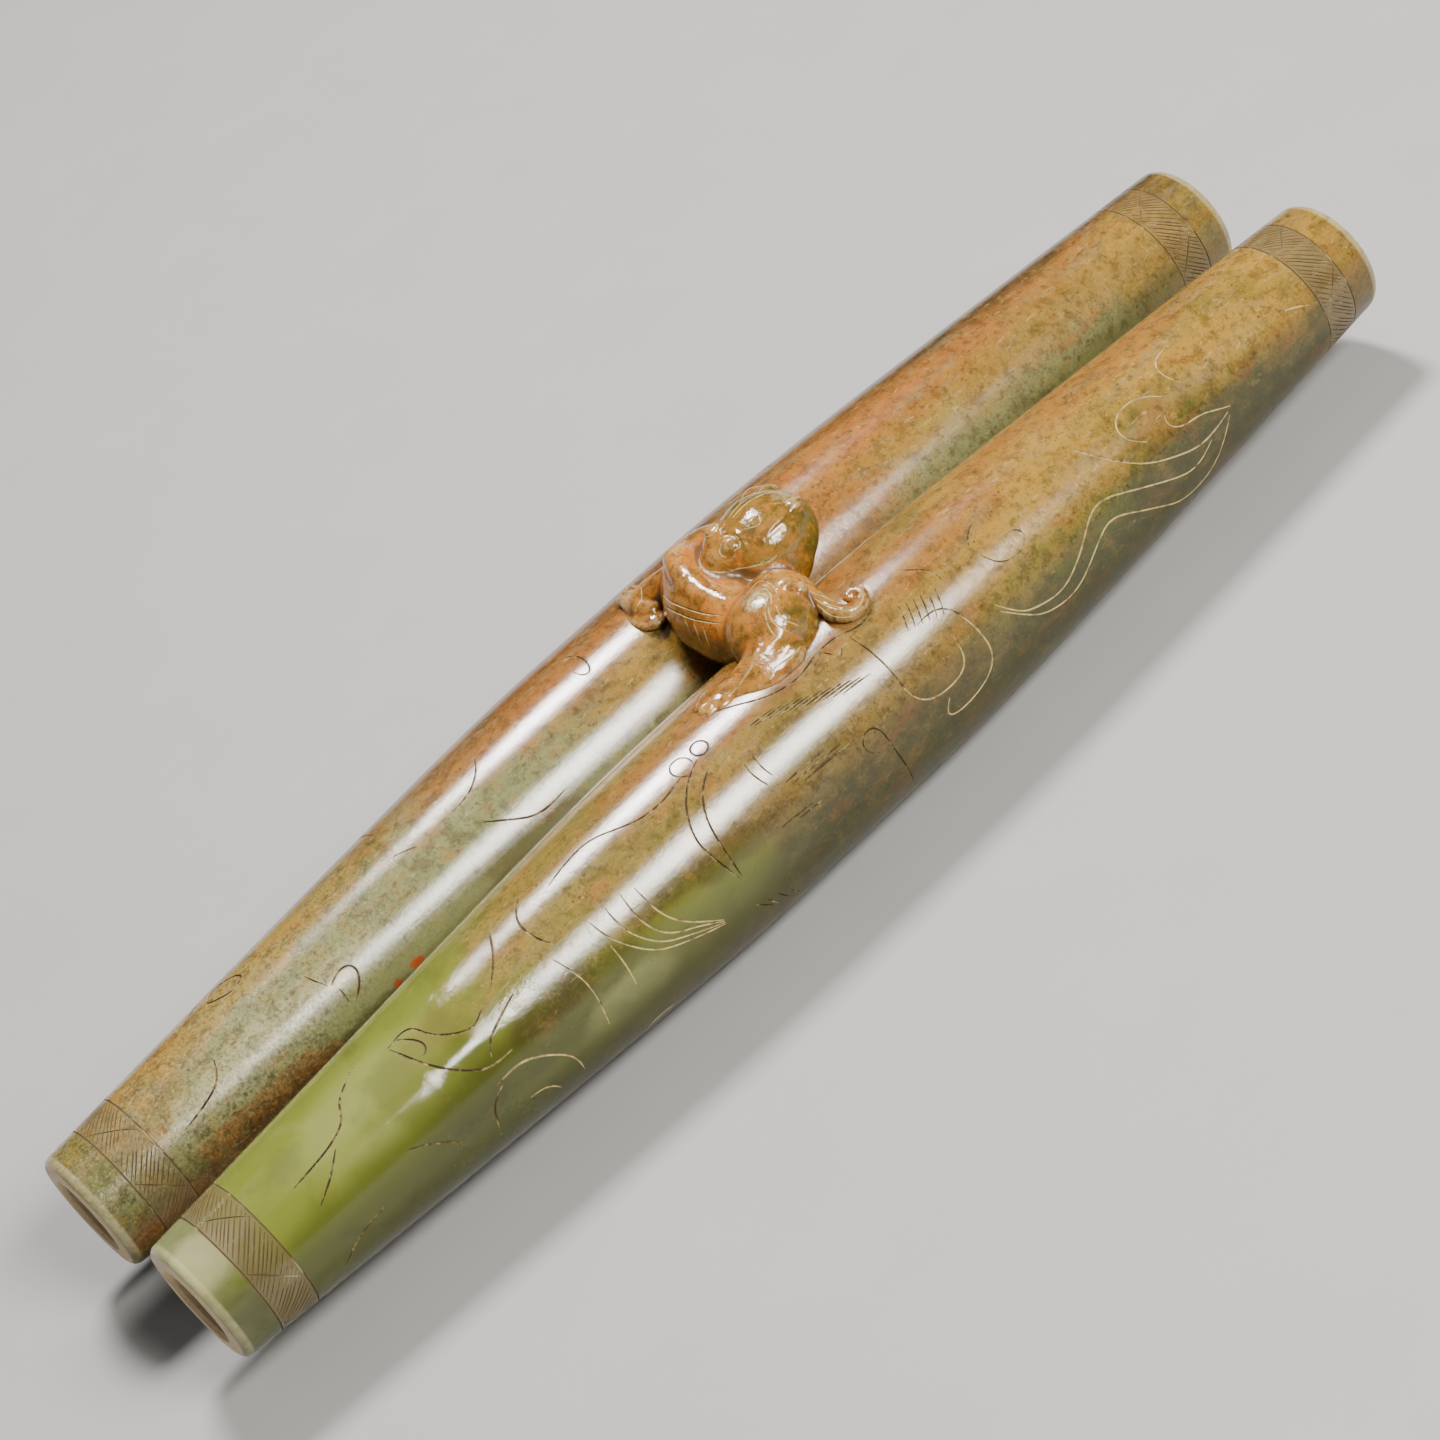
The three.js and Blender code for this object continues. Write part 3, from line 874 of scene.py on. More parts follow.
def eye(piece, place):
    """The round ball of an eye, facing out of the skin."""
    point, normal = skin_point(piece, place)
    turn = normal.to_track_quat("Z", "Y").to_euler()
    deselect()
    bpy.ops.mesh.primitive_uv_sphere_add(
        segments=EYE_SIDES,
        ring_count=EYE_RINGS,
        radius=EYE_BALL * MM,
        location=point,
        rotation=turn,
        scale=(1, 1, EYE_FLATNESS),
    )
    return bpy.context.object


def eye_ring(piece, place):
    """The line round an eye, left open below."""
    point, normal = skin_point(piece, place)
    side = normal.cross(Vector((0, 0, 1))).normalized()
    rise = side.cross(normal)
    ring = []
    for i in range(EYE_RING_STEPS + 1):
        angle = math.radians(EYE_RING_START + EYE_RING_SWEEP * i / EYE_RING_STEPS)
        spot = point / MM + EYE_RING * (side * math.cos(angle) + rise * math.sin(angle))
        ring.append((spot.x, spot.y, spot.z - CREST))
    return on_skin(piece, ring)


def ridge(piece, points):
    """A raised cord that runs over the skin and sinks into it at both ends."""
    path = on_skin(piece, points)
    last = len(path) - 1
    cord = []
    for i, point in enumerate(path):
        x, y, z = point / MM
        width = min(1, BLUNT + min(i, last - i) / POINTED)
        cord.append((x, y, z - CREST - RIDGE_SINK, RIDGE_RADIUS * width))
    return limb(cord)


def mark_hollows(piece, name, rounds):
    """Stores how deep each point lies below the softened skin, in millimetres, as an attribute."""
    mesh = piece.data
    count = len(mesh.vertices)
    place = np.empty(count * 3)
    mesh.vertices.foreach_get("co", place)
    place = place.reshape(-1, 3) / MM
    facing = np.empty(count * 3)
    mesh.vertices.foreach_get("normal", facing)
    ends = np.empty(len(mesh.edges) * 2, dtype=np.int32)
    mesh.edges.foreach_get("vertices", ends)
    first, second = ends.reshape(-1, 2).T
    share = np.bincount(ends, minlength=count)
    soft = place.copy()
    for i in range(rounds):
        for axis in range(3):
            total = np.bincount(first, soft[second, axis], count)
            total += np.bincount(second, soft[first, axis], count)
            soft[:, axis] = total / share
    depth = ((soft - place) * facing.reshape(-1, 3)).sum(axis=1)
    mesh.attributes.new(name, "FLOAT", "POINT").data.foreach_set("value", depth)


def make_beast(looks):
    """The crouching beast: blended masses, finer forms, carved lines and a seat for both tubes."""
    beast = settings().beast
    tube = settings().tube
    forms = [lump(place, half) for place, half in BODY_FORMS]
    forms += [limb(bend(points, LIMB_STEP)) for points in LIMBS]
    piece = join(forms[0], forms[1:])
    blend_forms(piece, beast.grain * BODY_GRAIN, BODY_ROUNDS)
    settle(piece, "beast_carving")
    finer = [lump(place, half) for place, half in SMALL_FORMS + TUFTS]
    finer += [eye(piece, place) for place in EYES]
    finer += [ridge(piece, points) for points in RIDGES]
    finer.append(limb(bend(TAIL, TAIL_STEP)))
    piece = join(piece, finer)
    blend_forms(piece, beast.grain, FINE_ROUNDS)
    piece.data.materials.clear()
    for look in looks:
        piece.data.materials.append(look)
    lines = [on_skin(piece, points) for points in BEAST_LINES]
    lines += [eye_ring(piece, place) for place in EYES]
    engrave(piece, lines, beast.line, LINE)
    for axis in (FRONT_AXIS, REAR_AXIS):
        cut(piece, turned(outer_stations(tube, beast.seat), axis, False))
    settle(piece, "beast_carving")
    mark_hollows(piece, "hollow", HOLLOW_ROUNDS)
    mark_hollows(piece, "crease", CREASE_ROUNDS)
    take(piece)
    bpy.ops.object.shade_smooth_by_angle(angle=BEAST_SMOOTH_ANGLE)
    return piece


# Materials
MIX_MASK, MIX_BELOW, MIX_ABOVE, MIX_RESULT = 0, 6, 7, 2  # sockets of a mix of colours


def put(tree, kind, inputs=None, **values):
    """Adds a node, sets its values and joins or sets its inputs."""
    node = tree.nodes.new(kind)
    for key, value in values.items():
        setattr(node, key, value)
    for key, value in (inputs or {}).items():
        if isinstance(value, bpy.types.NodeSocket):
            tree.links.new(value, node.inputs[key])
        else:
            node.inputs[key].default_value = value
    return node


def opaque(shade):
    """A colour that a socket can take."""
    return shade if isinstance(shade, bpy.types.NodeSocket) else (*shade, 1)


def calculate(tree, operation, *values):
    """A sum, product or other result of one to three values."""
    return put(tree, "ShaderNodeMath", dict(enumerate(values)), operation=operation).outputs[0]


def blur_step(tree, value, low, high):
    """A soft step from 0 to 1 between two values."""
    node = put(
        tree, "ShaderNodeMapRange", {"Value": value, "From Min": low, "From Max": high},
        interpolation_type="SMOOTHSTEP",
    )
    return node.outputs[0]


def noise(tree, vector, scale, detail=4, rough=0.55, warp=0.0):
    """A noise value with an even middle."""
    inputs = {"Vector": vector, "Scale": scale, "Detail": detail, "Roughness": rough, "Distortion": warp}
    return put(tree, "ShaderNodeTexNoise", inputs).outputs["Fac"]


def tint(tree, mask, below, above, blend="MIX"):
    """One colour over another by a mask."""
    inputs = {MIX_MASK: mask, MIX_BELOW: opaque(below), MIX_ABOVE: opaque(above)}
    node = put(tree, "ShaderNodeMix", inputs, data_type="RGBA", blend_type=blend)
    return node.outputs[MIX_RESULT]


def weigh(tree, *values):
    """The product of values."""
    total = values[0]
    for value in values[1:]:
        total = calculate(tree, "MULTIPLY", total, value)
    return total


def new_group(name, inputs, outputs):
    """An empty shader node group with named number inputs and outputs."""
    tree = bpy.data.node_groups.new(name, "ShaderNodeTree")
    for label, value in inputs.items():
        socket = tree.interface.new_socket(label, in_out="INPUT", socket_type="NodeSocketFloat")
        socket.default_value = value
    for label in outputs:
        tree.interface.new_socket(label, in_out="OUTPUT", socket_type="NodeSocketFloat")
    return tree, tree.nodes.new("NodeGroupInput").outputs, tree.nodes.new("NodeGroupOutput").inputs


def millimetres(tree):
    """The place on the object in millimetres."""
    place = put(tree, "ShaderNodeTexCoord").outputs["Object"]
    return put(tree, "ShaderNodeVectorMath", {0: place, "Scale": 1 / MM}, operation="SCALE").outputs[0]


RAGGED_END = 1.25  # reach at which a stain has faded out, in half sizes
PATCH_FULL, BLOT_FULL = 0.7, 0.6  # reach at which it is full


def place_group():
    """Where a point lies on a tube: millimetres along it and degrees round it from its crest."""
    tree, given, result = new_group("Place on tube", {"Axis": 0.0}, ("Along", "Around"))
    parts = put(tree, "ShaderNodeSeparateXYZ", {0: millimetres(tree)}).outputs
    across = calculate(tree, "SUBTRACT", given["Axis"], parts[1])
    above = calculate(tree, "SUBTRACT", parts[2], AXIS_HEIGHT / MM)
    angle = calculate(tree, "DEGREES", calculate(tree, "ARCTAN2", across, above))
    tree.links.new(parts[0], result["Along"])
    tree.links.new(angle, result["Around"])
    return tree


def ragged_edge(tree, place, given, reach, full):
    """A mask with a ragged edge, full where the reach is small."""
    wave = calculate(tree, "SUBTRACT", noise(tree, place, given["Scale"], 6, 0.62), 0.5)
    reach = calculate(tree, "MULTIPLY_ADD", wave, given["Ragged"], reach)
    return blur_step(tree, reach, RAGGED_END, full)


def patch_group():
    """A soft patch with ragged edges, centred at a place on a tube."""
    inputs = {
        "Along": 0, "Around": 0, "Centre along": 0, "Centre around": 0, "Half length": 10,
        "Half turn": 40, "Ragged": 0.8, "Scale": 0.2,
    }
    tree, given, result = new_group("Stain patch", inputs, ("Mask",))
    along = calculate(tree, "SUBTRACT", given["Along"], given["Centre along"])
    along = calculate(tree, "DIVIDE", along, given["Half length"])
    turn = calculate(tree, "SUBTRACT", given["Around"], given["Centre around"])
    turn = calculate(tree, "WRAP", turn, 180.0, -180.0)
    turn = calculate(tree, "DIVIDE", turn, given["Half turn"])
    squares = [calculate(tree, "MULTIPLY", part, part) for part in (along, turn)]
    reach = calculate(tree, "SQRT", calculate(tree, "ADD", *squares))
    mask = ragged_edge(tree, millimetres(tree), given, reach, PATCH_FULL)
    tree.links.new(mask, result["Mask"])
    return tree


def blot_group():
    """A soft blot with a ragged edge, centred at a place on the object."""
    inputs = {"Along": 0, "Across": 0, "Up": 0, "Radius": 2, "Ragged": 0.8, "Scale": 0.6}
    tree, given, result = new_group("Stain blot", inputs, ("Mask",))
    place = millimetres(tree)
    centre = {0: given["Along"], 1: given["Across"], 2: given["Up"]}
    centre = put(tree, "ShaderNodeCombineXYZ", centre).outputs[0]
    reach = put(tree, "ShaderNodeVectorMath", {0: place, 1: centre}, operation="DISTANCE")
    reach = calculate(tree, "DIVIDE", reach.outputs["Value"], given["Radius"])
    tree.links.new(ragged_edge(tree, place, given, reach, BLOT_FULL), result["Mask"])
    return tree


DRAWN_OUT = (0.3, 1, 1)  # scale of the streaks and fibres, which are drawn out along the tubes


def grain_group():
    """Grain of the stone, from broad clouds to sand and specks, and the relief of its pits."""
    inputs = {"Cloud scale": 0.12, "Mottle scale": 0.6, "Sand scale": 1.1, "Grit scale": 2.8}
    outputs = ("Cloud", "Streak", "Mottle", "Sand", "Grit", "Speck", "Fibre", "Swell", "Relief")
    tree, given, result = new_group("Jade grain", inputs, outputs)
    place = millimetres(tree)
    drawn = put(tree, "ShaderNodeVectorMath", {0: place, 1: DRAWN_OUT}, operation="MULTIPLY").outputs[0]
    cloud = noise(tree, place, given["Cloud scale"], 4, 0.55, 0.6)
    streak = noise(tree, drawn, 0.45, 6, 0.62, 0.4)
    mottle = noise(tree, place, given["Mottle scale"], 9, 0.68, 0.3)
    sand = noise(tree, place, given["Sand scale"], 6, 0.7)
    grit = noise(tree, place, given["Grit scale"], 4, 0.7)
    flock = noise(tree, place, 0.22, 3, 0.6)
    fine = noise(tree, place, 2.2, 3, 0.6)
    speck = weigh(tree, blur_step(tree, fine, 0.6, 0.7), blur_step(tree, flock, 0.42, 0.62))
    fibre = blur_step(tree, noise(tree, drawn, 2.0, 5, 0.7, 0.8), 0.56, 0.7)
    relief = calculate(tree, "MULTIPLY_ADD", sand, 0.5, calculate(tree, "MULTIPLY", grit, 0.4))
    relief = calculate(tree, "MULTIPLY_ADD", noise(tree, place, 0.1, 2, 0.4), 1.6, relief)
    swell = noise(tree, place, 0.55, 3, 0.5)
    values = (cloud, streak, mottle, sand, grit, speck, fibre, swell, relief)
    for label, value in zip(outputs, values):
        tree.links.new(value, result[label])
    return tree


def group_node(tree, group, inputs=None):
    """A node group placed in a material."""
    return put(tree, "ShaderNodeGroup", inputs, node_tree=group).outputs


def new_material(name):
    """A material with its shader, ready for its colour."""
    material = bpy.data.materials.new(name)
    material.use_nodes = True
    tree = material.node_tree
    return material, tree, tree.nodes["Principled BSDF"]


def ramp(tree, value, stops):
    """A colour along a value, from pairs of a place from 0 to 1 and a colour."""
    node = put(tree, "ShaderNodeValToRGB", {"Fac": value})
    elements = node.color_ramp.elements
    while len(elements) < len(stops):
        elements.new(0.5)
    for element, (place, shade) in zip(elements, stops):
        element.position = place
        element.color = (*shade, 1)
    return node.outputs["Color"]


def bump(tree, shader, height, distance, strength):
    """Relief of the surface."""
    node = put(tree, "ShaderNodeBump", {"Height": height, "Distance": distance, "Strength": strength})
    tree.links.new(node.outputs["Normal"], shader.inputs["Normal"])


JADE_IOR = 1.55
GLOW_REACH = (1.0, 0.85, 0.35)  # how far red, green and blue light sink in, in depths
GLOW_DEPTH = 1.8 * MM
TUBE_GLOW, BEAST_GLOW = 0.5, 0.15  # share of the light that sinks in


def waxy(shader, weight):
    """Light that sinks into the stone, and its polish."""
    shader.inputs["Subsurface Weight"].default_value = weight
    shader.inputs["Subsurface Radius"].default_value = GLOW_REACH
    shader.inputs["Subsurface Scale"].default_value = GLOW_DEPTH
    shader.inputs["IOR"].default_value = JADE_IOR


# Colours along each tube: millimetres from its middle, and the colour there
FRONT_STOPS = (
    (-81, "celadon"), (-74, "yellow_green"), (-42, "yellow_green"), (-20, "tan"), (10, "tan"),
    (30, "ochre"), (75, "ochre"), (81, "tan"),
)
REAR_STOPS = (
    (-81, "celadon"), (-70, "tan"), (-52, "celadon"), (-38, "tan"), (-28, "celadon"), (-12, "tan"),
    (10, "ochre"), (60, "tan"), (81, "ochre"),
)
# Stains of each tube, and the patches of painted shade and painted reflection marked below: colour,
# centre along it and round it, half length and half turn, how ragged, scale of the ragged edge, and
# strength
FRONT_STAINS = (
    ("olive", -62, 84, 15, 30, 1.3, 0.12, 0.4),
    ("olive", -78, 74, 3, 30, 1.3, 0.3, 0.45),
    ("milk", -58, 30, 9, 30, 0.9, 0.12, 0.2),
    ("olive", -51, 42, 8, 26, 1.8, 0.22, 0.4),
    ("tan", -44, 28, 7, 22, 1.8, 0.24, 0.2),
    # Pale patch on top of the near collar: painted reflection of a broad soft light
    ("husk", -79, 26, 4, 24, 0.9, 0.3, 0.3),
    ("tan", -31, 16, 10, 34, 1.2, 0.16, 0.5),
    ("yellow_green", -27, 90, 18, 26, 0.9, 0.12, 0.95),
    ("olive", -42, 76, 13, 18, 1.3, 0.16, 0.7),
    ("bark", -39, 64, 5, 12, 1.6, 0.2, 0.55),
    ("bark", -23.5, 61, 5, 6, 1.7, 0.25, 0.45),
    ("bark", -14.5, 67, 6, 9, 1.7, 0.22, 0.5),
    ("bark", -7, 96, 7, 13, 1.7, 0.22, 0.75),
    ("milk", -32, 92, 6, 14, 1.1, 0.2, 0.7),
    ("olive", 2, 106, 18, 34, 1.4, 0.16, 0.45),
    ("olive", 47, 102, 31, 36, 1.7, 0.2, 0.95),
    ("olive", 0, 158, 95, 72, 0.7, 0.1, 0.9),
    ("olive", 50, 60, 7, 26, 1.4, 0.3, 0.4),
    ("yellow_green", 30, 74, 12, 16, 1.5, 0.25, 0.35),
    ("russet", 4, -4, 13, 30, 1.2, 0.3, 0.75),
    ("russet", 22, 14, 10, 18, 1.6, 0.35, 0.55),
    ("russet", 48, -14, 18, 26, 1.6, 0.4, 0.5),
    ("russet", -12, 8, 14, 18, 1.5, 0.4, 0.5),
)
REAR_STAINS = (
    ("ochre", -58, -70, 26, 44, 2.2, 0.13, 0.6),
    ("celadon", -46, 62, 34, 46, 1.0, 0.14, 0.85),
    ("celadon", 34, 88, 40, 34, 1.1, 0.16, 0.85),
    ("celadon", -20, 150, 70, 60, 0.9, 0.1, 0.6),
    ("russet", 34, -30, 42, 58, 1.1, 0.2, 0.8),
    ("russet", -14, -8, 20, 32, 1.3, 0.26, 0.75),
    ("russet", 15, 50, 14, 34, 1.3, 0.26, 0.7),
    ("celadon", -13, 68, 12, 15, 1.2, 0.2, 0.8),
    # Dark brown over the far end: partly stain, partly painted shade where the light falls off
    ("bark", 58, -42, 30, 44, 1.2, 0.25, 0.78),
    ("bark", 20, -44, 80, 40, 0.9, 0.2, 0.5),
    ("ember", 20, 12, 22, 14, 1.9, 0.5, 0.2),
    ("russet", -60, 104, 24, 20, 1.4, 0.4, 0.6),
    ("ember", -77, 112, 4, 15, 1.4, 0.6, 0.35),
    ("ochre", -56, -4, 17, 22, 1.7, 0.22, 0.6),
    ("husk", -57, 44, 13, 13, 1.9, 0.3, 0.4),
    ("bark", -46, 90, 28, 13, 1.5, 0.24, 0.6),
    ("russet", -62, 78, 9, 9, 1.8, 0.4, 0.55),
    ("bark", -24, 66, 7, 16, 1.7, 0.3, 0.5),
    ("olive", -79.5, 10, 3.5, 60, 1.0, 0.3, 0.6),
    ("bark", 80, -20, 6, 50, 1.0, 0.3, 0.6),
    ("spark", -41.8, 74, 0.8, 3.5, 1.2, 1.0, 0.9),
    ("spark", -44.6, 76, 0.5, 2.5, 1.2, 1.0, 0.8),
)
# Clear stone with few grains, placed as a stain is
FRONT_CLEAR = (-27, 90, 18, 26, 0.9, 0.12)
REAR_CLEAR = (-32, 74, 24, 15, 1.2, 0.16)
# Where each tube turns sandy and where it is worn: the mask starts and is full, in millimetres
FRONT_SANDY, FRONT_WORN = (-52, -32), (100, 110)
REAR_SANDY, REAR_WORN = (-110, -90), (-25, -60)
# Share of dry ground in the hatched bands
FRONT_DRY, REAR_DRY = 0.66, 0.3


def patch_mask(tree, place, patch, along, around, length, turn, ragged, scale):
    """The mask of one ragged patch on a tube."""
    return group_node(tree, patch, {
        "Along": place["Along"], "Around": place["Around"],
        "Centre along": along, "Centre around": around,
        "Half length": length, "Half turn": turn, "Ragged": ragged, "Scale": scale,
    })["Mask"]


def stained(tree, base, stains, place, patch):
    """Lays each stain over the colour below it."""
    jade = settings().jade
    shade = base
    for name, *where, strength in stains:
        mask = patch_mask(tree, place, patch, *where)
        shade = tint(tree, calculate(tree, "MULTIPLY", mask, strength), shade, getattr(jade, name))
    return shade


def ring_mask(tree, edge, low, high):
    """A mask of the stretch between two distances from the middle of a tube."""
    rise = blur_step(tree, edge, low - 0.2, low + 0.1)
    return weigh(tree, rise, blur_step(tree, edge, high + 0.2, high - 0.1))


# Parts of the grain: where the mask of each starts and where it is full, its strength and its colour
CLOUDS = (
    ("Cloud", 0.5, 0.3, 0.5, "olive"),
    ("Cloud", 0.54, 0.74, 0.16, "milk"),
)
WEATHER = (
    ("Streak", 0.54, 0.66, 0.45, "russet"),
    ("Streak", 0.47, 0.35, 0.5, "dusk"),
    ("Mottle", 0.52, 0.36, 0.5, "bark"),
    ("Mottle", 0.53, 0.66, 0.5, "ochre"),
    ("Fibre", 0.0, 1.0, 0.4, "cream"),
    ("Sand", 0.47, 0.35, 0.55, "bark"),
    ("Speck", 0.0, 1.0, 0.75, "bark"),
)
BEAST_GRAINS = (
    ("Mottle", 0.52, 0.62, 0.5, "ember"),
    ("Mottle", 0.49, 0.37, 0.55, "bark"),
    ("Sand", 0.46, 0.32, 0.6, "bark"),
    ("Sand", 0.6, 0.72, 0.25, "cream"),
    ("Grit", 0.47, 0.34, 0.5, "bark"),
)


def grained(tree, shade, grain, rows, *shares):
    """Lays each part of the grain over the colour below it, where the shares let it show."""
    jade = settings().jade
    for part, low, high, strength, tone in rows:
        mask = weigh(tree, blur_step(tree, grain[part], low, high), *shares, strength)
        shade = tint(tree, mask, shade, getattr(jade, tone))
    return shade


def weather(tree, shade, grain, sandy, worn):
    """Streaks, mottle and specks where the stone is sandy, and dark and pale grains where it is worn."""
    jade = settings().jade
    shade = grained(tree, shade, grain, WEATHER, sandy)
    dark = calculate(tree, "MULTIPLY_ADD", sandy, 0.3, worn)
    dark = weigh(tree, blur_step(tree, grain["Grit"], 0.48, 0.36), dark)
    shade = tint(tree, dark, shade, jade.bark)
    pale = weigh(tree, blur_step(tree, grain["Grit"], 0.52, 0.68), worn)
    return tint(tree, pale, shade, jade.husk)


CLOUD_SWAY, MOTTLE_SWAY = 44.0, 22.0  # millimetres that clouds and mottle shift the colours by
CLEAR_LOSS = -0.85  # share of its grains that clear stone loses
SIDES, UNDERSIDE = (38.0, 64.0), (50.0, 88.0)  # degrees from the crest where each starts and is full
RIM_WIDTH, FACE_EDGE, FACE_START = 1, 0.2, 0.03  # millimetres from the end of a tube


def tube_stone(name, axis, stops, stains, groups, sandiness, wear, clear, dry):
    """Polished, stained jade of one tube."""
    jade = settings().jade
    tube = settings().tube
    material, tree, shader = new_material(name)
    place = group_node(tree, groups["place"], {"Axis": axis / MM})
    grain = group_node(tree, groups["grain"])
    # Colours along the tube, clouds and stains
    sway = place["Along"]
    for part, shift in (("Cloud", CLOUD_SWAY), ("Mottle", MOTTLE_SWAY)):
        wave = calculate(tree, "SUBTRACT", grain[part], 0.5)
        sway = calculate(tree, "MULTIPLY_ADD", wave, shift, sway)
    half = TUBE_LENGTH / 2 / MM
    reach = calculate(tree, "MULTIPLY_ADD", sway, 0.5 / half, 0.5)
    shade = ramp(tree, reach, [((x / half + 1) / 2, getattr(jade, tone)) for x, tone in stops])
    shade = grained(tree, shade, grain, CLOUDS)
    shade = stained(tree, shade, stains, place, groups["patch"])
    # Grains, and painted shade low down, partly the stone's own deeper tone
    off_crest = calculate(tree, "ABSOLUTE", place["Around"])
    dull = patch_mask(tree, place, groups["patch"], *clear)
    dull = calculate(tree, "MULTIPLY_ADD", dull, CLEAR_LOSS, 1.0)
    sandy = weigh(tree, blur_step(tree, sway, *sandiness), dull)
    worn = weigh(tree, sandy, blur_step(tree, off_crest, *SIDES), 0.1)
    worn = calculate(tree, "MULTIPLY_ADD", blur_step(tree, sway, *wear), 0.28, worn)
    shade = weather(tree, shade, grain, sandy, worn)
    # Darker low down: painted shade, partly the stone's own deeper tone
    under = blur_step(tree, off_crest, *UNDERSIDE)
    painted_shade = weigh(tree, under, calculate(tree, "MULTIPLY_ADD", dull, 0.2, 0.62))
    shade = tint(tree, painted_shade, shade, jade.depth, "MULTIPLY")
    # Hatched bands, worn rims and dusty end faces
    edge = calculate(tree, "ABSOLUTE", place["Along"])
    outer = (tube.length / 2 - tube.collar) / MM
    inner = outer - tube.band / MM
    shade = tint(tree, weigh(tree, ring_mask(tree, edge, inner, outer), dry), shade, jade.fawn)
    rim = ring_mask(tree, edge, half - RIM_WIDTH, half - FACE_EDGE)
    shade = tint(tree, weigh(tree, rim, grain["Sand"], 0.7), shade, jade.husk)
    dusty = blur_step(tree, edge, half - FACE_EDGE, half - FACE_START)
    dusty = weigh(tree, dusty, blur_step(tree, grain["Sand"], 0.15, 0.5))
    shade = tint(tree, dusty, shade, jade.earth)
    tree.links.new(shade, shader.inputs["Base Color"])
    # Polish, duller where it is sandy, dusty or low down
    rough = calculate(tree, "MULTIPLY_ADD", weigh(tree, grain["Sand"], sandy), 0.2, 0.07)
    rough = calculate(tree, "MULTIPLY_ADD", dusty, 0.4, rough)
    rough = calculate(tree, "MULTIPLY_ADD", under, 0.2, rough)
    tree.links.new(rough, shader.inputs["Roughness"])
    height = weigh(tree, grain["Relief"], calculate(tree, "MULTIPLY_ADD", sandy, 0.8, 0.2))
    bump(tree, shader, height, 0.08 * MM, 0.45)
    waxy(shader, TUBE_GLOW)
    return material


# Pale residue in the cut lines: where it starts along a tube, and a stretch where it lies low down
FRONT_PALE, FRONT_PALE_LOW = 34, (-46, -19)
REAR_PALE, REAR_PALE_LOW = 30, (10, 12)
BEAST_PALE, BEAST_PALE_LOW = -60, (10, 12)
LOW_LINES = (46, 72)  # degrees from the crest where low lines start to be pale and are all pale
LOW_LINES_FROM = (6, 10)  # millimetres along a tube from which all low lines are pale
BAND_FROM = (71.8, 72.2)  # millimetres from the middle of a tube where the hatched bands start


def cut_line(name, axis, pale_from, pale_low, groups):
    """Cut lines: pale residue far along and low down in some stretches; dark elsewhere, partly dark
    residue and partly painted shade in the grooves.
    """
    jade = settings().jade
    material, tree, shader = new_material(name)
    place = group_node(tree, groups["place"], {"Axis": axis / MM})
    along = place["Along"]
    grain = group_node(tree, groups["grain"])
    far = blur_step(tree, along, pale_from - 20, pale_from + 10)
    start, end = pale_low
    near = blur_step(tree, along, start - 4, start + 4)
    near = weigh(tree, near, blur_step(tree, along, end + 2, end - 2))
    low = blur_step(tree, calculate(tree, "ABSOLUTE", place["Around"]), *LOW_LINES)
    low = weigh(tree, low, calculate(tree, "MAXIMUM", near, blur_step(tree, along, *LOW_LINES_FROM)))
    pale = weigh(tree, calculate(tree, "MAXIMUM", far, low), 0.85)
    wave = calculate(tree, "SUBTRACT", grain["Sand"], 0.5)
    pale = calculate(tree, "MULTIPLY_ADD", wave, 4.4, pale)
    # Dark of the lines: partly residue, partly painted shade in the grooves
    shade = tint(tree, pale, jade.moss, jade.cream)
    band = blur_step(tree, calculate(tree, "ABSOLUTE", along), *BAND_FROM)
    patchy = weigh(tree, blur_step(tree, grain["Streak"], 0.54, 0.68), 0.4)
    shade = tint(tree, band, shade, tint(tree, patchy, jade.umber, jade.husk))
    tree.links.new(shade, shader.inputs["Base Color"])
    shader.inputs["Roughness"].default_value = 0.6
    shader.inputs["Specular IOR Level"].default_value = 0.2
    bump(tree, shader, grain["Sand"], 0.03 * MM, 0.4)
    return material


def bore_earth(groups):
    """Dry tan earth on the walls of the bores."""
    jade = settings().jade
    material, tree, shader = new_material("bore_earth")
    grain = group_node(tree, groups["grain"], {"Sand scale": 1.6})
    shade = tint(tree, blur_step(tree, grain["Sand"], 0.1, 0.45), jade.dusk, jade.earth)
    shade = tint(tree, weigh(tree, blur_step(tree, grain["Grit"], 0.42, 0.3), 0.5), shade, jade.bark)
    tree.links.new(shade, shader.inputs["Base Color"])
    shader.inputs["Roughness"].default_value = 0.85
    bump(tree, shader, grain["Sand"], 0.25 * MM, 0.7)
    return material


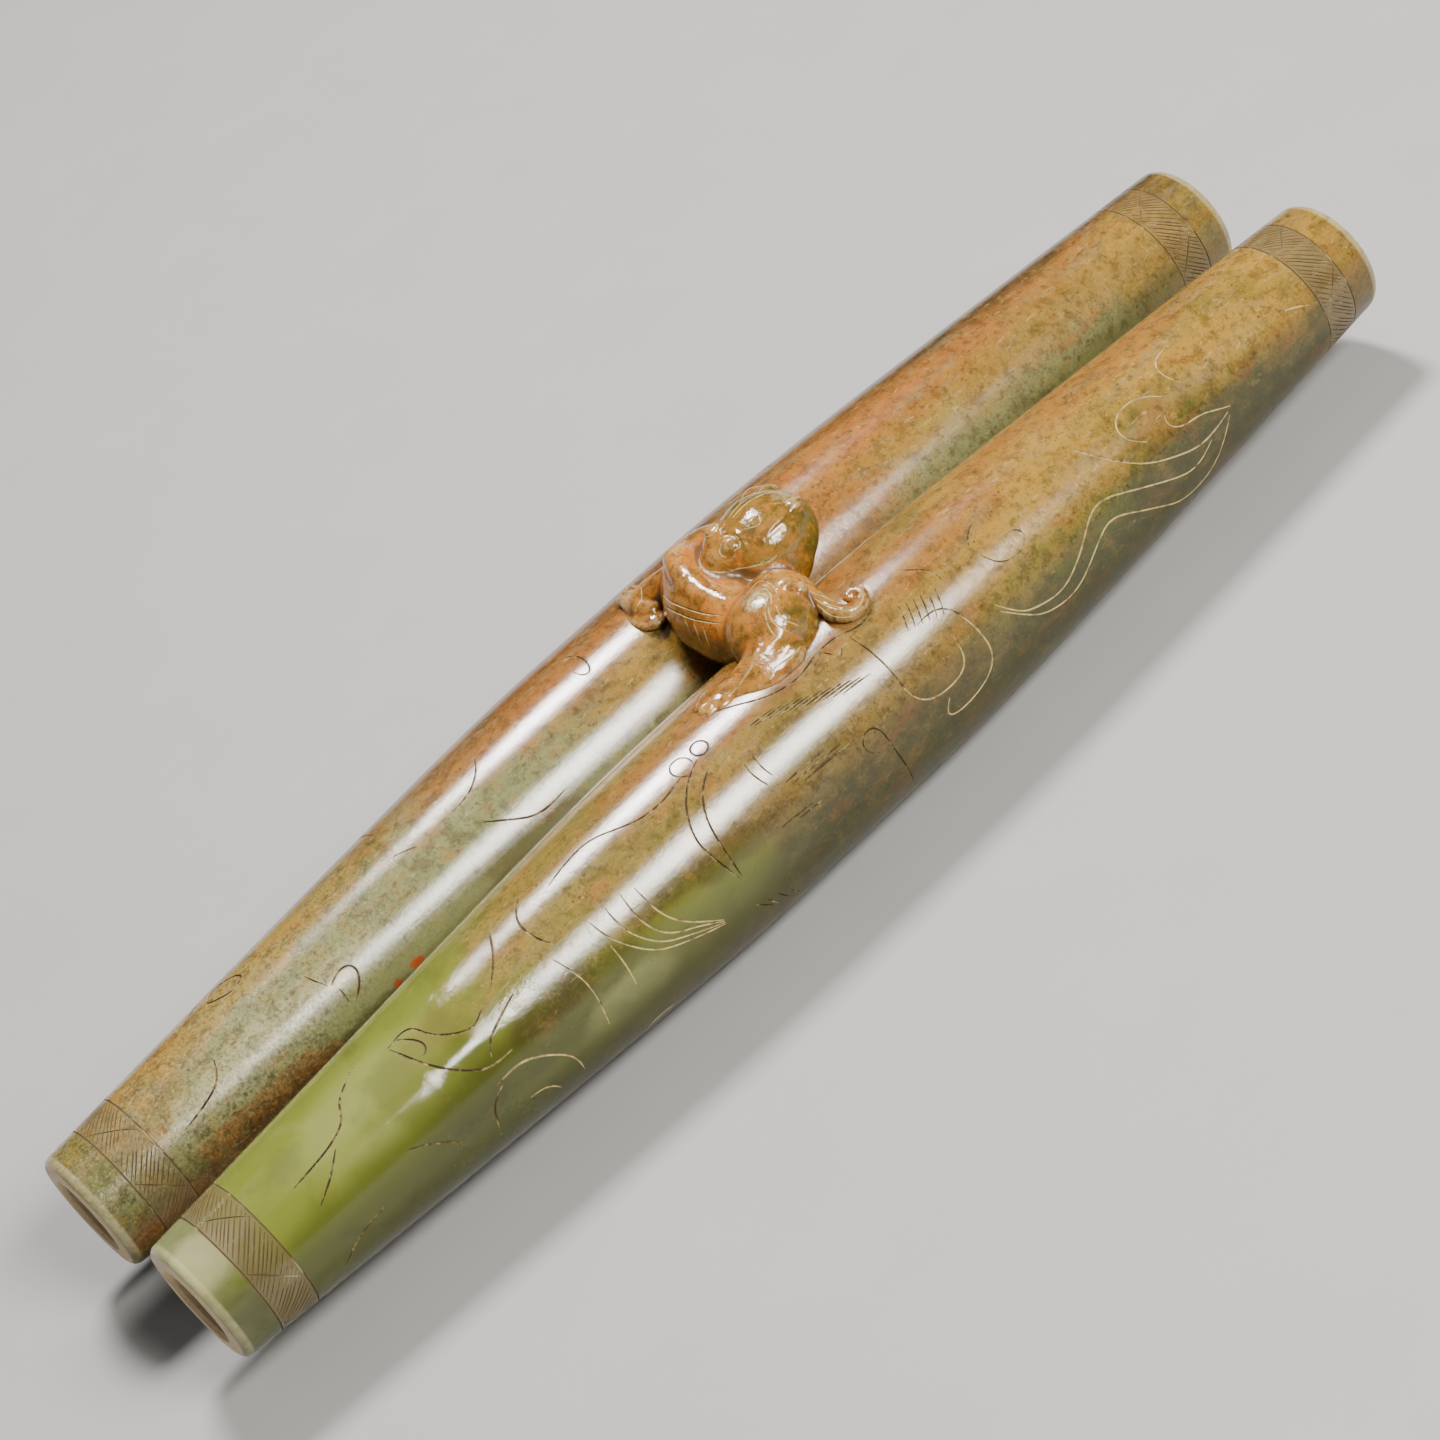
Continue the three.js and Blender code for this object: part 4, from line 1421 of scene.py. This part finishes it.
BEAST_BLOTS = (
    # colour, centre, radius, ragged, scale, strength
    ("olive", (12.5, 0.0, 3.0), 7.0, 1.2, 0.4, 0.45),
    # Olive and dark brown at the back of the head: partly the stone's colour, partly a painted dark rim
    # of shade and reflection
    ("olive", (16.4, -1.0, 1.6), 4.6, 1.4, 0.4, 0.7),
    ("olive", (13.5, 4.0, 5.0), 3.6, 1.4, 0.4, 0.5),
    ("bark", (17.6, -0.5, 0.2), 3.0, 1.4, 0.5, 0.6),
    ("ember", (5.8, 4.4, 3.8), 3.4, 1.7, 0.6, 0.6),
    ("ember", (0.6, -4.6, 2.6), 2.4, 1.7, 0.7, 0.6),
    ("rust", (-0.4, -2.5, 0.2), 3.0, 1.5, 0.6, 0.6),
    ("olive", (5.6, -12.4, 0.6), 3.6, 1.5, 0.5, 0.6),
    ("celadon", (3.9, -9.0, 4.9), 1.5, 2.4, 1.4, 0.3),
    ("husk", (3.9, -9.2, 4.9), 1.3, 2.8, 1.8, 0.6),
    ("husk", (15.4, -0.6, 5.4), 1.2, 1.8, 1.2, 0.35),
    ("husk", (-0.2, 11.0, 0.8), 1.4, 1.7, 1.0, 0.35),
    ("cream", (8.6, -4.6, 3.2), 1.4, 1.8, 0.9, 0.3),
)


BEAST_SCALES = {"Cloud scale": 0.3, "Mottle scale": 0.9, "Sand scale": 1.5}


def beast_stone(groups):
    """Polished russet jade of the beast, pale where it stands out, with painted shade in its hollows and
    creases.
    """
    jade = settings().jade
    material, tree, shader = new_material("beast_jade")
    grain = group_node(tree, groups["grain"], BEAST_SCALES)
    shade = tint(tree, blur_step(tree, grain["Cloud"], 0.38, 0.6), jade.rust, jade.amber)
    for tone, (along, across, above), radius, ragged, scale, strength in BEAST_BLOTS:
        mask = group_node(tree, groups["blot"], {
            "Along": along, "Across": across, "Up": CREST + above,
            "Radius": radius, "Ragged": ragged, "Scale": scale,
        })["Mask"]
        shade = tint(tree, weigh(tree, mask, strength), shade, getattr(jade, tone))
    shade = grained(tree, shade, grain, BEAST_GRAINS)
    shade = tint(tree, weigh(tree, grain["Speck"], 0.5), shade, jade.bark)
    # The deepest hollows are painted dark brown: painted shade
    hollow = put(tree, "ShaderNodeAttribute", attribute_name="hollow").outputs["Fac"]
    painted_shade = blur_step(tree, calculate(tree, "MULTIPLY_ADD", grain["Sand"], 0.06, hollow), 0.04, 0.16)
    # Broad creases are painted reddish, then dark brown where deeper: painted shade
    crease = put(tree, "ShaderNodeAttribute", attribute_name="crease").outputs["Fac"]
    wave = calculate(tree, "SUBTRACT", grain["Mottle"], 0.5)
    crease = calculate(tree, "MULTIPLY_ADD", wave, 0.5, crease)
    shade = tint(tree, weigh(tree, blur_step(tree, crease, 0.02, 0.25), 0.5), shade, jade.ember)
    shade = tint(tree, weigh(tree, blur_step(tree, crease, 0.1, 0.5), 0.7), shade, jade.bark)
    rim = blur_step(tree, calculate(tree, "MULTIPLY_ADD", grain["Mottle"], 0.06, hollow), 0.02, 0.08)
    shade = tint(tree, weigh(tree, rim, 0.6), shade, jade.ember)
    shade = tint(tree, weigh(tree, painted_shade, 0.8), shade, jade.bark)
    proud = weigh(tree, blur_step(tree, hollow, -0.13, -0.26), blur_step(tree, grain["Sand"], 0.4, 0.56))
    shade = tint(tree, weigh(tree, proud, 0.45), shade, jade.cream)
    tree.links.new(shade, shader.inputs["Base Color"])
    rough = calculate(tree, "MULTIPLY_ADD", grain["Sand"], 0.14, 0.05)
    rough = calculate(tree, "MULTIPLY_ADD", painted_shade, 0.25, rough)
    tree.links.new(rough, shader.inputs["Roughness"])
    height = calculate(tree, "MULTIPLY_ADD", grain["Relief"], 0.16, grain["Swell"])
    bump(tree, shader, height, 0.3 * MM, 0.7)
    waxy(shader, BEAST_GLOW)
    return material


def make_groups():
    """The shared node groups, built once."""
    made = {}
    for key, name, build in (
        ("place", "Place on tube", place_group),
        ("patch", "Stain patch", patch_group),
        ("blot", "Stain blot", blot_group),
        ("grain", "Jade grain", grain_group),
    ):
        made[key] = bpy.data.node_groups.get(name) or build()
    return made


# Operators
class DOUBLE_TUBE_OT_front(bpy.types.Operator):
    """Turn, cut and finish the front tube"""

    bl_idname = "double_tube.front"
    bl_label = "Front tube"

    def execute(self, context):
        groups = make_groups()
        looks = (
            tube_stone(
                "front_jade", FRONT_AXIS, FRONT_STOPS, FRONT_STAINS, groups,
                FRONT_SANDY, FRONT_WORN, FRONT_CLEAR, FRONT_DRY,
            ),
            cut_line("front_cut_line", FRONT_AXIS, FRONT_PALE, FRONT_PALE_LOW, groups),
            bpy.data.materials.get("bore_earth") or bore_earth(groups),
        )
        piece = make_tube("front_tube_carving", FRONT_AXIS, FRONT_HEAVY, FRONT_FINE, looks)
        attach(piece, BODY)
        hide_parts("front_tube")
        return {"FINISHED"}


class DOUBLE_TUBE_OT_rear(bpy.types.Operator):
    """Turn, cut and finish the rear tube"""

    bl_idname = "double_tube.rear"
    bl_label = "Rear tube"

    def execute(self, context):
        groups = make_groups()
        looks = (
            tube_stone(
                "rear_jade", REAR_AXIS, REAR_STOPS, REAR_STAINS, groups,
                REAR_SANDY, REAR_WORN, REAR_CLEAR, REAR_DRY,
            ),
            cut_line("rear_cut_line", REAR_AXIS, REAR_PALE, REAR_PALE_LOW, groups),
            bpy.data.materials.get("bore_earth") or bore_earth(groups),
        )
        piece = make_tube("rear_tube_carving", REAR_AXIS, REAR_CURLS, REAR_FINE, looks)
        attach(piece, BODY)
        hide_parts("rear_tube")
        return {"FINISHED"}


class DOUBLE_TUBE_OT_beast(bpy.types.Operator):
    """Carve and finish the beast"""

    bl_idname = "double_tube.beast"
    bl_label = "Beast"

    def execute(self, context):
        groups = make_groups()
        looks = (
            beast_stone(groups),
            cut_line("beast_cut_line", REAR_AXIS, BEAST_PALE, BEAST_PALE_LOW, groups),
        )
        piece = make_beast(looks)
        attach(piece, BODY)
        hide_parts("beast")
        return {"FINISHED"}


# Stage
CAMERA_PLACE = (-0.11615, -0.28059, 0.2252)
CAMERA_RIGHT = (0.7016, -0.5897, -0.3999)
CAMERA_UP = (0.6424, 0.2807, 0.7131)
CAMERA_LENS, CAMERA_SENSOR = 91.04, 36  # millimetres
CAMERA_NEAR = 0.01
FLOOR_SIZE = 6
FLOOR_SHADES = (0.27, 0.268, 0.265), (0.295, 0.293, 0.29)
FLOOR_CLOUDS = 60.0  # scale of the faint clouds in the floor's colour
SURROUND, SURROUND_STRENGTH = (0.8, 0.82, 0.85), 0.11
LIGHTS = (
    # name, place, length along the tubes, height, power, colour
    ("key_light", (0.175, 0.3, 0.656), 0.17, 0.17, 11.0, (1.0, 0.96, 0.95)),
    ("side_light", (0.175, -0.56, 0.53), 0.36, 0.26, 14.5, (1.0, 0.97, 0.9)),
    ("overhead_light", (-0.15, 0.1, 1.2), 1.4, 1.4, 2.0, (1.0, 0.98, 0.96)),
)


def make_floor():
    """A wide pale floor."""
    deselect()
    bpy.ops.mesh.primitive_plane_add(size=FLOOR_SIZE, location=(0, 0, 0))
    floor = bpy.context.object
    floor.name = "floor"
    material, tree, shader = new_material("pale_floor")
    place = put(tree, "ShaderNodeTexCoord").outputs["Object"]
    shade = tint(tree, noise(tree, place, FLOOR_CLOUDS, 3), *FLOOR_SHADES)
    tree.links.new(shade, shader.inputs["Base Color"])
    shader.inputs["Roughness"].default_value = 0.7
    floor.data.materials.append(material)


def make_camera():
    """The camera at the photograph's viewing angle."""
    data = bpy.data.cameras.new("camera")
    data.lens = CAMERA_LENS
    data.sensor_width = CAMERA_SENSOR
    data.clip_start = CAMERA_NEAR
    camera = bpy.data.objects.new("camera", data)
    right = Vector(CAMERA_RIGHT).normalized()
    up = Vector(CAMERA_UP).normalized()
    back = right.cross(up)
    turn = Matrix((right, back.cross(right), back)).transposed()
    camera.matrix_world = Matrix.Translation(CAMERA_PLACE) @ turn.to_4x4()
    bpy.context.collection.objects.link(camera)
    bpy.context.scene.camera = camera


def make_lights():
    """Soft studio lights and an even, pale surround."""
    centre = Vector((0, 0, MID_RADIUS))
    for name, place, length, height, power, shade in LIGHTS:
        data = bpy.data.lights.new(name, "AREA")
        data.shape = "ELLIPSE"
        data.size = length
        data.size_y = height
        data.energy = power
        data.color = shade
        light = bpy.data.objects.new(name, data)
        back = (Vector(place) - centre).normalized()
        side = (Vector((1, 0, 0)) - back * back.x).normalized()
        turn = Matrix((side, back.cross(side), back)).transposed()
        light.matrix_world = Matrix.Translation(place) @ turn.to_4x4()
        bpy.context.collection.objects.link(light)
    world = bpy.data.worlds.new("surround")
    world.use_nodes = True
    background = world.node_tree.nodes["Background"]
    background.inputs["Color"].default_value = opaque(SURROUND)
    background.inputs["Strength"].default_value = SURROUND_STRENGTH
    bpy.context.scene.world = world


class DOUBLE_TUBE_OT_stage(bpy.types.Operator):
    """Lay the floor and set the camera and lights"""

    bl_idname = "double_tube.stage"
    bl_label = "Stage"

    def execute(self, context):
        make_floor()
        make_camera()
        make_lights()
        return {"FINISHED"}


class VIEW3D_PT_double_tube(bpy.types.Panel):
    """Settings and steps of the double tube."""

    bl_label = "Carved jade double tube"
    bl_space_type = "VIEW_3D"
    bl_region_type = "UI"
    bl_category = "Double tube"

    def draw(self, context):
        layout = self.layout
        given = settings()
        for title, group in (("Tubes", given.tube), ("Beast", given.beast), ("Jade", given.jade)):
            box = layout.box()
            box.label(text=title)
            for name in group.__annotations__:
                box.prop(group, name)
        for step in STEPS:
            layout.operator(step.bl_idname)


STEPS = (DOUBLE_TUBE_OT_stage, DOUBLE_TUBE_OT_front, DOUBLE_TUBE_OT_rear, DOUBLE_TUBE_OT_beast)
CLASSES = (TubeSizes, BeastSizes, JadeColours, DoubleTube, *STEPS, VIEW3D_PT_double_tube)


def register():
    """Registers the settings, the operators and the panel."""
    for item in CLASSES:
        bpy.utils.register_class(item)
    bpy.types.Scene.double_tube = PointerProperty(type=DoubleTube)


def unregister():
    """Takes them away again."""
    del bpy.types.Scene.double_tube
    for item in reversed(CLASSES):
        bpy.utils.unregister_class(item)


def main():
    """Builds the stage and the three pieces."""
    register()
    bpy.ops.double_tube.stage()
    bpy.ops.double_tube.front()
    bpy.ops.double_tube.rear()
    bpy.ops.double_tube.beast()


if __name__ == "__main__":
    main()
